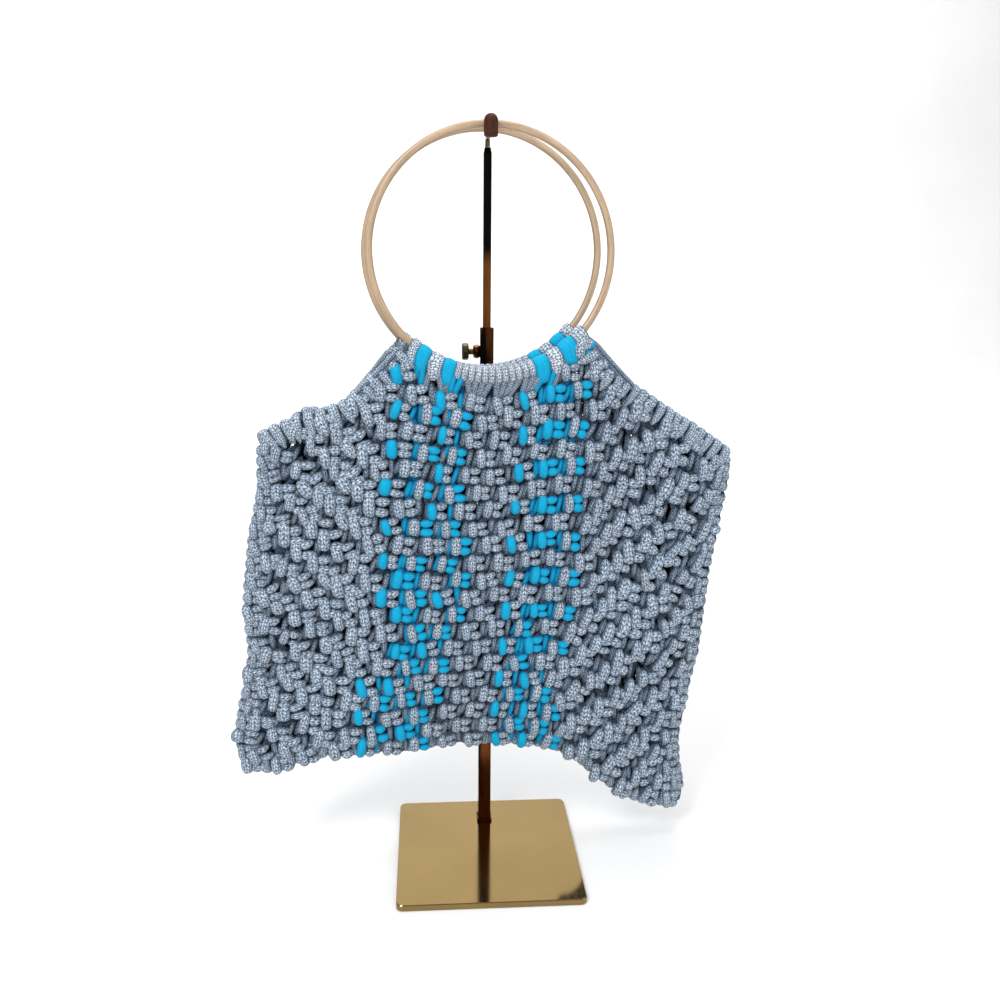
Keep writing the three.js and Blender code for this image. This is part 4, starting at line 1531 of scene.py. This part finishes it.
@dataclass
class EdgeLoops:
    """Short loops of grey cord over every edge of the bag, and stays from its shoulders to the hoops.

    They close the knotted panels: over the shoulders, round both side seams and under the bottom seam.
    """

    shape: PanelShape
    place: BagPlace
    spacing: float = 8.4
    half_along: float = 3.9
    half_thick: float = 2.5
    reach: float = -1.6
    leg: float = 12.5
    steps: int = 13
    sides: int = 10
    seed: int = 11
    place_spread: float = 0.5
    place_limits: Span = (-1.0, 1.0)
    lean_spread: float = 1.2
    lean_limits: Span = (-2.0, 2.0)
    size_spread: float = 0.07
    size_limits: Span = (-0.14, 0.14)
    round_share: float = 0.6
    leg_share: float = 0.4
    tuck_share: float = 0.35
    shoulder_wall: float = 3.6
    seam_wall: float = 6.4
    stays: tuple[float, ...] = (0.03, 0.065, 0.105)
    stay_foot: float = 0.985
    stay_under: float = 1.5
    stay_steps: int = 9
    stay_half: float = 3.3
    stay_below: float = 1.0
    stay_drop: float = 3.0
    stay_front: float = 0.6
    stay_step: float = 0.8
    bow: float = -1.2

    def over(self, line: np.ndarray, outward: np.ndarray, through: np.ndarray, half_wall: float) -> Sweep:
        """Loops set side by side along an edge.

        Args:
            line: points along the edge, in the bag's own frame.
            outward: the direction away from the panel at each point.
            through: the direction through the wall at each point.
            half_wall: how far from the middle of the wall the loops pass down each face.

        Returns:
            The loops in the row frame.
        """
        length = np.concatenate([[0.0], np.cumsum(np.linalg.norm(np.diff(line, axis=0), axis=1))])
        count = max(2, round(length[-1] / self.spacing))
        chance = np.random.default_rng(self.seed + count)
        where = (np.arange(count) + 0.5) * length[-1] / count
        where = where + chance.normal(0.0, self.place_spread, count).clip(*self.place_limits)

        def read(values: np.ndarray) -> np.ndarray:
            """The values at the loops' places."""
            return np.stack([np.interp(where, length, values[:, axis]) for axis in range(3)], axis=-1)

        middle, away, across = read(line), unit(read(outward)), unit(read(through))
        along = unit(read(np.gradient(line, axis=0)))
        lean = chance.normal(0.0, self.lean_spread, count).clip(*self.lean_limits)
        turn = np.linspace(-1.0, 1.0, self.steps)
        round_part = np.clip(np.abs(turn) / self.round_share, 0.0, 1.0)
        down_leg = np.clip((np.abs(turn) - self.round_share) / self.leg_share, 0.0, 1.0)
        depth = np.sin(round_part * math.pi / 2.0) * np.sign(turn) * half_wall
        depth = depth * (1.0 - self.tuck_share * down_leg**2)
        height = self.reach - half_wall * (1.0 - np.cos(round_part * math.pi / 2.0))
        height = height - self.leg * down_leg
        path = (
            middle[:, None, :] + away[:, None, :] * height[None, :, None]
            + across[:, None, :] * depth[None, :, None]
            + along[:, None, :] * (lean[:, None] * turn[None, :])[:, :, None]
        )
        share = 1.0 + chance.normal(0.0, self.size_spread, count).clip(*self.size_limits)
        widths = share[:, None] * tapered(turn, 1.02, 6)[None, :] * self.half_along
        sweep = Sweep.along(path, widths, widths * self.half_thick / self.half_along, along, self.sides)
        return sweep.moved(self.place.to_row(sweep.points))

    def shoulder(self, side: Side, low: float, high: float) -> Sweep:
        """Loops over one panel's shoulder.

        Args:
            side: the panel.
            low: the share of the width at which they start.
            high: the share of the width at which they stop.

        Returns:
            The loops in the row frame.
        """
        along = np.linspace(low, high, 60)
        line = self.shape.top(side, along)
        below = self.shape.middle(side, along, np.full(60, 0.95))
        through = np.cross(np.gradient(line, axis=0), line - below)
        outward = np.cross(through, np.gradient(line, axis=0))
        outward = outward * np.sign(outward[:, 2:3])
        return self.over(line, outward, through, self.shoulder_wall)

    def seam(self, along: float) -> Sweep:
        """Loops round one side seam, joining the two panels."""
        up = np.linspace(0.03, 0.97, 80)
        return self.joined(np.full(80, along), up, (1.0 if along > 0.5 else -1.0, 0.0, 0.0))

    def hem(self) -> Sweep:
        """Loops under the bottom seam, joining the two panels."""
        return self.joined(np.linspace(0.01, 0.99, 120), np.zeros(120), (0.0, 0.0, -1.0))

    def joined(self, along: np.ndarray, up: np.ndarray, outward: Triple) -> Sweep:
        """Loops round both panels where they meet.

        Args:
            along: shares of the width at points of the seam.
            up: shares of the height at the same points.
            outward: the direction away from the bag.

        Returns:
            The loops in the row frame.
        """
        line = (self.shape.middle(Side.FRONT, along, up) + self.shape.middle(Side.REAR, along, up)) / 2.0
        through = np.tile([0.0, 1.0, 0.0], (len(along), 1))
        return self.over(line, np.tile(outward, (len(along), 1)), through, self.seam_wall)

    def stays_of(self, side: Side, left: bool) -> Sweep:
        """Strands that run from a shoulder's edge up under the first or last wound cord.

        Args:
            side: the panel.
            left: whether they are on the left shoulder.

        Returns:
            The strands in the row frame.
        """
        hoop = HOOPS[side]
        angle = hoop.wraps[0] + self.stay_under if left else hoop.wraps[-1] - self.stay_under
        end = self.shape.share_at(side, angle)
        away = -1.0 if left else 1.0
        steps = np.linspace(0.0, 1.0, self.stay_steps)
        paths = []
        for index, share in enumerate(self.stays):
            foot = self.shape.middle(side, np.array([end + away * share]), np.array([self.stay_foot]))[0]
            below = hoop.radius + self.stay_below + self.stay_drop * index
            head = hoop.at(np.array([angle]), np.array([below]))[0]
            path = foot + (head - foot) * steps[:, None]
            path[:, 2] += self.bow * share / self.stays[-1] * np.sin(steps * math.pi)
            path[:, 1] += side.value * (self.stay_front + self.stay_step * index)
            paths.append(path)
        half = np.tile(self.stay_half * tapered(2.0 * steps - 1.0, 1.03, 8), (len(paths), 1))
        aside = np.tile([0.0, 1.0, 0.0], (len(paths), 1))
        sweep = Sweep.along(np.array(paths), half, half, aside, self.sides)
        return sweep.moved(self.place.to_row(sweep.points))

    def build(self, finishes: dict[Cord, bpy.types.Material]) -> None:
        """Makes one piece of the loops and stays.

        Args:
            finishes: the material of each kind of cord.
        """
        sweeps = [self.seam(0.0), self.seam(1.0), self.hem()]
        for side in Side:
            wraps = HOOPS[side].wraps
            left, right = (self.shape.share_at(side, angle) for angle in (wraps[0], wraps[-1]))
            sweeps += [self.shoulder(side, 0.0, left), self.shoulder(side, right, 1.0)]
            sweeps += [self.stays_of(side, True), self.stays_of(side, False)]
        add_piece("edge_loops", sweeps, finishes[Cord.GREY])


# Handles


@dataclass
class WoundCords:
    """The cords wound side by side round the bottom of one hoop."""

    side: Side
    hoop: HoopLine
    place: BagPlace
    turn_width: float = 4.9
    longest_band: float = 12.0
    late_start: float = 0.0
    narrowing: float = 0.3
    swelling: float = 0.5
    hang: float = 7.5
    hang_of_turns: float = 1.2
    inner: float = 2.5
    outer: float = 6.0
    steps: int = 28
    sides: int = 14
    overlap: float = 1.08
    band_length_spare: float = 1.1
    fanned_in: float = 0.85

    def turns(self, low: float, high: float) -> Sweep:
        """The turns of one stretch of cord.

        Args:
            low: where it starts, in degrees round the hoop.
            high: where it ends.

        Returns:
            Its turns in the row frame.
        """
        length = math.radians(high - low) * self.hoop.radius
        is_band = length < self.longest_band * self.band_length_spare
        count = 1 if is_band else round(length / self.turn_width)
        hang = self.hang if is_band else self.hang_of_turns
        edges = np.linspace(low, high, count + 1)
        middles = (edges[:-1] + edges[1:]) / 2.0
        angle = np.linspace(0.0, 2.0 * math.pi, self.steps, endpoint=False)
        half_depth = (self.outer - self.inner) / 2.0
        radius = self.inner + half_depth
        down = np.clip(np.cos(angle), 0.0, 1.0)
        distance = self.hoop.radius + radius * np.cos(angle)
        forward = radius * np.sin(angle)
        round_hoop = np.repeat(middles[:, None], self.steps, 1)
        path = self.hoop.flat_at(round_hoop, np.tile(distance, (count, 1)))
        path[..., 1] = -forward
        path[..., 2] -= hang * down**2
        half_width = length / count / 2.0 * self.overlap
        turn = np.radians(middles)[:, None] * (1.0 - self.fanned_in * down[None, :] ** 2)
        aside = xyz(np.cos(turn), 0.0, np.sin(turn))
        narrow = half_width * (1.0 - (self.narrowing if is_band else 0.0) * down**4)
        swell = 1.0 + (self.swelling if is_band else 0.0) * down
        widths, depths = np.tile(narrow, (count, 1)), np.tile(half_depth * swell, (count, 1))
        sweep = Sweep.along(path, widths, depths, aside, self.sides, True)
        return sweep.moved(self.place.to_row(self.hoop.place(sweep.points)))

    def build(self, finishes: dict[Cord, bpy.types.Material]) -> None:
        """Makes one piece for each stretch of cord.

        Args:
            finishes: the material of each kind of cord.
        """
        label = self.side.label
        for index in range(len(self.hoop.wraps) - 1):
            cord = Cord.GREY if index % 2 == 0 else Cord.TURQUOISE
            low = self.hoop.wraps[index] + (self.late_start if index == 0 else 0.0)
            sweep = self.turns(low, self.hoop.wraps[index + 1])
            name, replaced = f"{label}_wound_cord_{index + 1}", f"wrap_{label}_{index + 1}"
            add_piece(name, [sweep], finishes[cord], replaced)


@dataclass
class WoodenHoop:
    """A turned wooden hoop, glued into a ring at one place."""

    side: Side
    hoop: HoopLine
    place: BagPlace
    steps: int = 160
    sides: int = 18
    breadth: float = 1.1
    edge_shade: float = 0.6
    joint_angle: float = 61.0
    pin_half: float = 0.6
    pin_proud: float = 0.15
    pin_length: float = 1.2
    pin_shares: tuple[float, ...] = (0.6, 1.0, 1.0, 1.0)
    pin_sides: int = 8

    def build(self, finish: bpy.types.Material) -> None:
        """Makes the hoop and ties it to the frame.

        Args:
            finish: the wood.
        """
        angle = np.linspace(0.0, 360.0, self.steps, endpoint=False)
        path = self.hoop.flat_at(angle, np.full(self.steps, self.hoop.radius))
        half = np.full((1, self.steps), self.hoop.wood)
        aside = np.array([[0.0, 1.0, 0.0]])
        sweep = Sweep.along(path[None], half, half * self.breadth, aside, self.sides, True)
        sweep = sweep.moved(self.place.to_row(self.hoop.place(sweep.points)))
        # Painted shade on the hoop's inner and outer edges as seen from the front.
        turn = np.linspace(0.0, 2.0 * math.pi, self.sides, endpoint=False)
        shade = 1.0 - self.edge_shade * np.sin(turn) ** 4
        sweep = sweep.shaded(np.broadcast_to(shade, sweep.points.shape[:3]).copy())
        label = self.side.label
        add_piece(f"{label}_wooden_hoop", [sweep], finish, f"hoop_{label}")

    def pin(self, finish: bpy.types.Material) -> None:
        """Makes the small pin that holds the glued joint of the hoop.

        Args:
            finish: the pin's metal.
        """
        spot = self.hoop.flat_at(np.array([self.joint_angle]), np.array([self.hoop.radius]))
        half = self.pin_half * np.array([self.pin_shares])
        steps = np.linspace(0.0, 1.0, len(self.pin_shares))
        path = np.repeat(spot[None], len(self.pin_shares), axis=1)
        path[..., 1] = -self.hoop.wood - self.pin_proud + steps * self.pin_length
        sweep = Sweep.along(path, half, half, np.array([[1.0, 0.0, 0.0]]), self.pin_sides)
        sweep = sweep.moved(self.place.to_row(self.hoop.place(sweep.points)))
        add_piece(f"{self.side.label}_hoop_pin", [sweep], finish)


# Stand and studio


@dataclass
class DisplayStand:
    """The brass stand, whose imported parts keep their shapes."""

    bevel_mm: float = 0.35
    bevel_segments: int = 2
    bevel_from_degrees: float = 40.0
    painted_reflection_share: float = 0.35

    def dress(self, nodes: dict[str, bpy.types.Object]) -> None:
        """Gives each part of the stand its finish and rounds its sharp edges.

        Args:
            nodes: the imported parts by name.
        """
        plate = Brass(
            "polished_brass_plate", (0.285, 0.195, 0.075), (0.245, 0.167, 0.064), 0.1, 14.0, 0.3, 0.75,
            scuff_depth=0.05, line_strength=0.0,
        )
        tube_top, rod_top = (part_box(name)[1][2] for name in ("post_tube", "inner_rod"))
        # The post's and rod's cloudy streaks are painted reflections of the surroundings.
        post = Brass(
            "dark_patinated_brass", (0.15, 0.045, 0.014), (0.006, 0.005, 0.004), 0.17, 110.0, 0.42, 0.56,
            (1.0, 1.0, 0.12),
        )
        # The rod's black top is a painted reflection.
        rod = replace(
            post, name="blackened_brass_rod", bright=(0.25, 0.09, 0.025),
            tarnish_and_reflection_from=0.5, tarnish_and_reflection_to=0.75,
            painted_reflection_from=tube_top + self.painted_reflection_share * (rod_top - tube_top),
        )
        screw = Brass("aged_brass_screw", (0.13, 0.1, 0.05), (0.03, 0.02, 0.01), 0.28, 180.0)
        finishes = {
            "base_plate": plate.make(),
            "post_tube": post.make(),
            "inner_rod": rod.make(),
            "thumb_screw": screw.make(),
            "hook": screw.make(),
            "hook_cap": CapPlastic().make(),
        }
        for name, finish in finishes.items():
            part = nodes[name]
            part.data.materials.clear()
            part.data.materials.append(finish)
            bevel = part.modifiers.new("soft_edges", "BEVEL")
            bevel.width = self.bevel_mm * METRES_PER_MM
            bevel.segments = self.bevel_segments
            bevel.limit_method = "ANGLE"
            bevel.angle_limit = math.radians(self.bevel_from_degrees)
            LOG.info("%s: finished with %s", name, finish.name)


@dataclass(frozen=True)
class SoftLight:
    """A square light: its place and width in metres, its power, and the point it looks at."""

    name: str
    spot: Triple
    size: float
    watts: float
    aim: Triple = (0.0, 0.0, 0.3)

    def hang(self) -> None:
        """Adds the light to the scene."""
        data = bpy.data.lights.new(self.name, "AREA")
        data.size = self.size
        data.energy = self.watts
        lamp = bpy.data.objects.new(self.name, data)
        lamp.location = self.spot
        ahead = Vector(self.aim) - Vector(self.spot)
        lamp.rotation_euler = ahead.to_track_quat("-Z", "Y").to_euler()
        bpy.context.scene.collection.objects.link(lamp)


@dataclass
class Studio:
    """The camera, the lights and the floor.

    The camera's lengths are in millimetres and its turns in degrees. The floor is in metres.
    """

    distance: float = 705.4
    sideways: float = 7.9
    height: float = 462.4
    heading: float = 4.2
    pitch: float = 13.81
    roll: float = 0.51
    lens: float = 36.0
    sensor: float = 36.0
    surroundings: float = 0.55
    floor_half: float = 6.0
    bend_start: float = 3.0
    bend_radius: float = 1.6
    bend_steps: int = 24
    lights: tuple[SoftLight, ...] = (
        SoftLight("key_light", (-0.8, -1.2, 1.7), 0.7, 24.0),
        SoftLight("fill_light", (1.4, -0.9, 0.8), 1.2, 5.0),
        SoftLight("top_light", (0.1, 0.1, 1.8), 0.8, 12.0),
        SoftLight("backdrop_light", (0.0, 1.8, 3.2), 3.0, 125.0, (0.0, 4.6, 1.4)),
    )

    def camera(self) -> None:
        """Sets the camera where the photograph was taken."""
        heading, pitch, roll = (math.radians(value) for value in (self.heading, self.pitch, self.roll))
        level = Vector((math.cos(heading), -math.sin(heading), 0.0))
        ahead = Vector((math.sin(heading), math.cos(heading), 0.0))
        forward = ahead * math.cos(pitch) - Vector((0.0, 0.0, math.sin(pitch)))
        upright = ahead * math.sin(pitch) + Vector((0.0, 0.0, math.cos(pitch)))
        right = level * math.cos(roll) + upright * math.sin(roll)
        up = upright * math.cos(roll) - level * math.sin(roll)
        spot = level * self.sideways - ahead * self.distance + Vector((0.0, 0.0, self.height))
        data = bpy.data.cameras.new("photograph_view")
        data.lens = self.lens
        data.sensor_width = self.sensor
        data.clip_start, data.clip_end = 0.01, 50.0
        view = bpy.data.objects.new("photograph_view", data)
        columns = Matrix((right, up, -forward)).transposed().to_4x4()
        view.matrix_world = Matrix.Translation(spot * METRES_PER_MM) @ columns
        bpy.context.scene.collection.objects.link(view)
        bpy.context.scene.camera = view

    def build(self) -> None:
        """Makes the camera, the lights, the white surroundings and the floor."""
        self.camera()
        for lamp in self.lights:
            lamp.hang()
        world = bpy.data.worlds.new("white_surroundings")
        world.use_nodes = True
        background = world.node_tree.nodes["Background"]
        background.inputs["Color"].default_value = (*WHITE, 1.0)
        background.inputs["Strength"].default_value = self.surroundings
        bpy.context.scene.world = world
        bpy.context.scene.view_settings.view_transform = "Standard"
        self.floor()

    def floor(self) -> None:
        """Makes a pale floor that rises into a backdrop."""
        half, start, bend = self.floor_half, self.bend_start, self.bend_radius
        line = [(-half, 0.0)]
        for index in range(self.bend_steps + 1):
            angle = index / self.bend_steps * math.pi / 2.0
            line.append((start + bend * math.sin(angle), bend * (1.0 - math.cos(angle))))
        line.append((start + bend, half))
        vertices = [(x, y, z) for y, z in line for x in (-half, half)]
        faces = [(2 * i, 2 * i + 1, 2 * i + 3, 2 * i + 2) for i in range(len(line) - 1)]
        mesh = bpy.data.meshes.new("studio_floor")
        mesh.from_pydata(vertices, [], faces)
        mesh.shade_smooth()
        mesh.materials.append(PaleFloor().make())
        floor = bpy.data.objects.new("studio_floor", mesh)
        bpy.context.scene.collection.objects.link(floor)


def main() -> None:
    """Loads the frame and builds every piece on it."""
    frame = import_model()
    shape, place = PanelShape(), BagPlace()
    cords = {Cord.GREY: KnittedYarn().make(), Cord.TURQUOISE: JerseyCord().make()}
    # A lighter copy of the knitted yarn for the wound cords: painted light.
    brighter_lit_yarn = KnittedYarn("brighter_lit_knitted_yarn", middle=(0.42, 0.5, 0.59), crest=(0.82, 0.88, 0.95))
    wound = {Cord.GREY: brighter_lit_yarn.make(), Cord.TURQUOISE: cords[Cord.TURQUOISE]}
    wood = PaleWood().make()
    pin_metal = Brass("dark_pin_brass", (0.05, 0.035, 0.02), (0.02, 0.014, 0.01), 0.35).make()
    details = {
        Side.FRONT: KnotDetail(),
        Side.REAR: KnotDetail(ring_steps=14, ring_sides=8, turn_sides=8, strand_steps=6, strand_sides=6),
    }
    for side in Side:
        panel = KnottedPanel(side, shape, place, details[side])
        panel.build(cords)
        WoundCords(side, HOOPS[side], place, late_start=3.0 if side is Side.FRONT else 0.0).build(wound)
        hoop = WoodenHoop(side, HOOPS[side], place)
        hoop.build(wood)
        if side is Side.FRONT:
            hoop.pin(pin_metal)
    EdgeLoops(shape, place).build(cords)
    DisplayStand().dress(frame["nodes"])
    Studio().build()


if __name__ == "__main__":
    logging.basicConfig(level=logging.INFO, format="%(message)s")
    main()
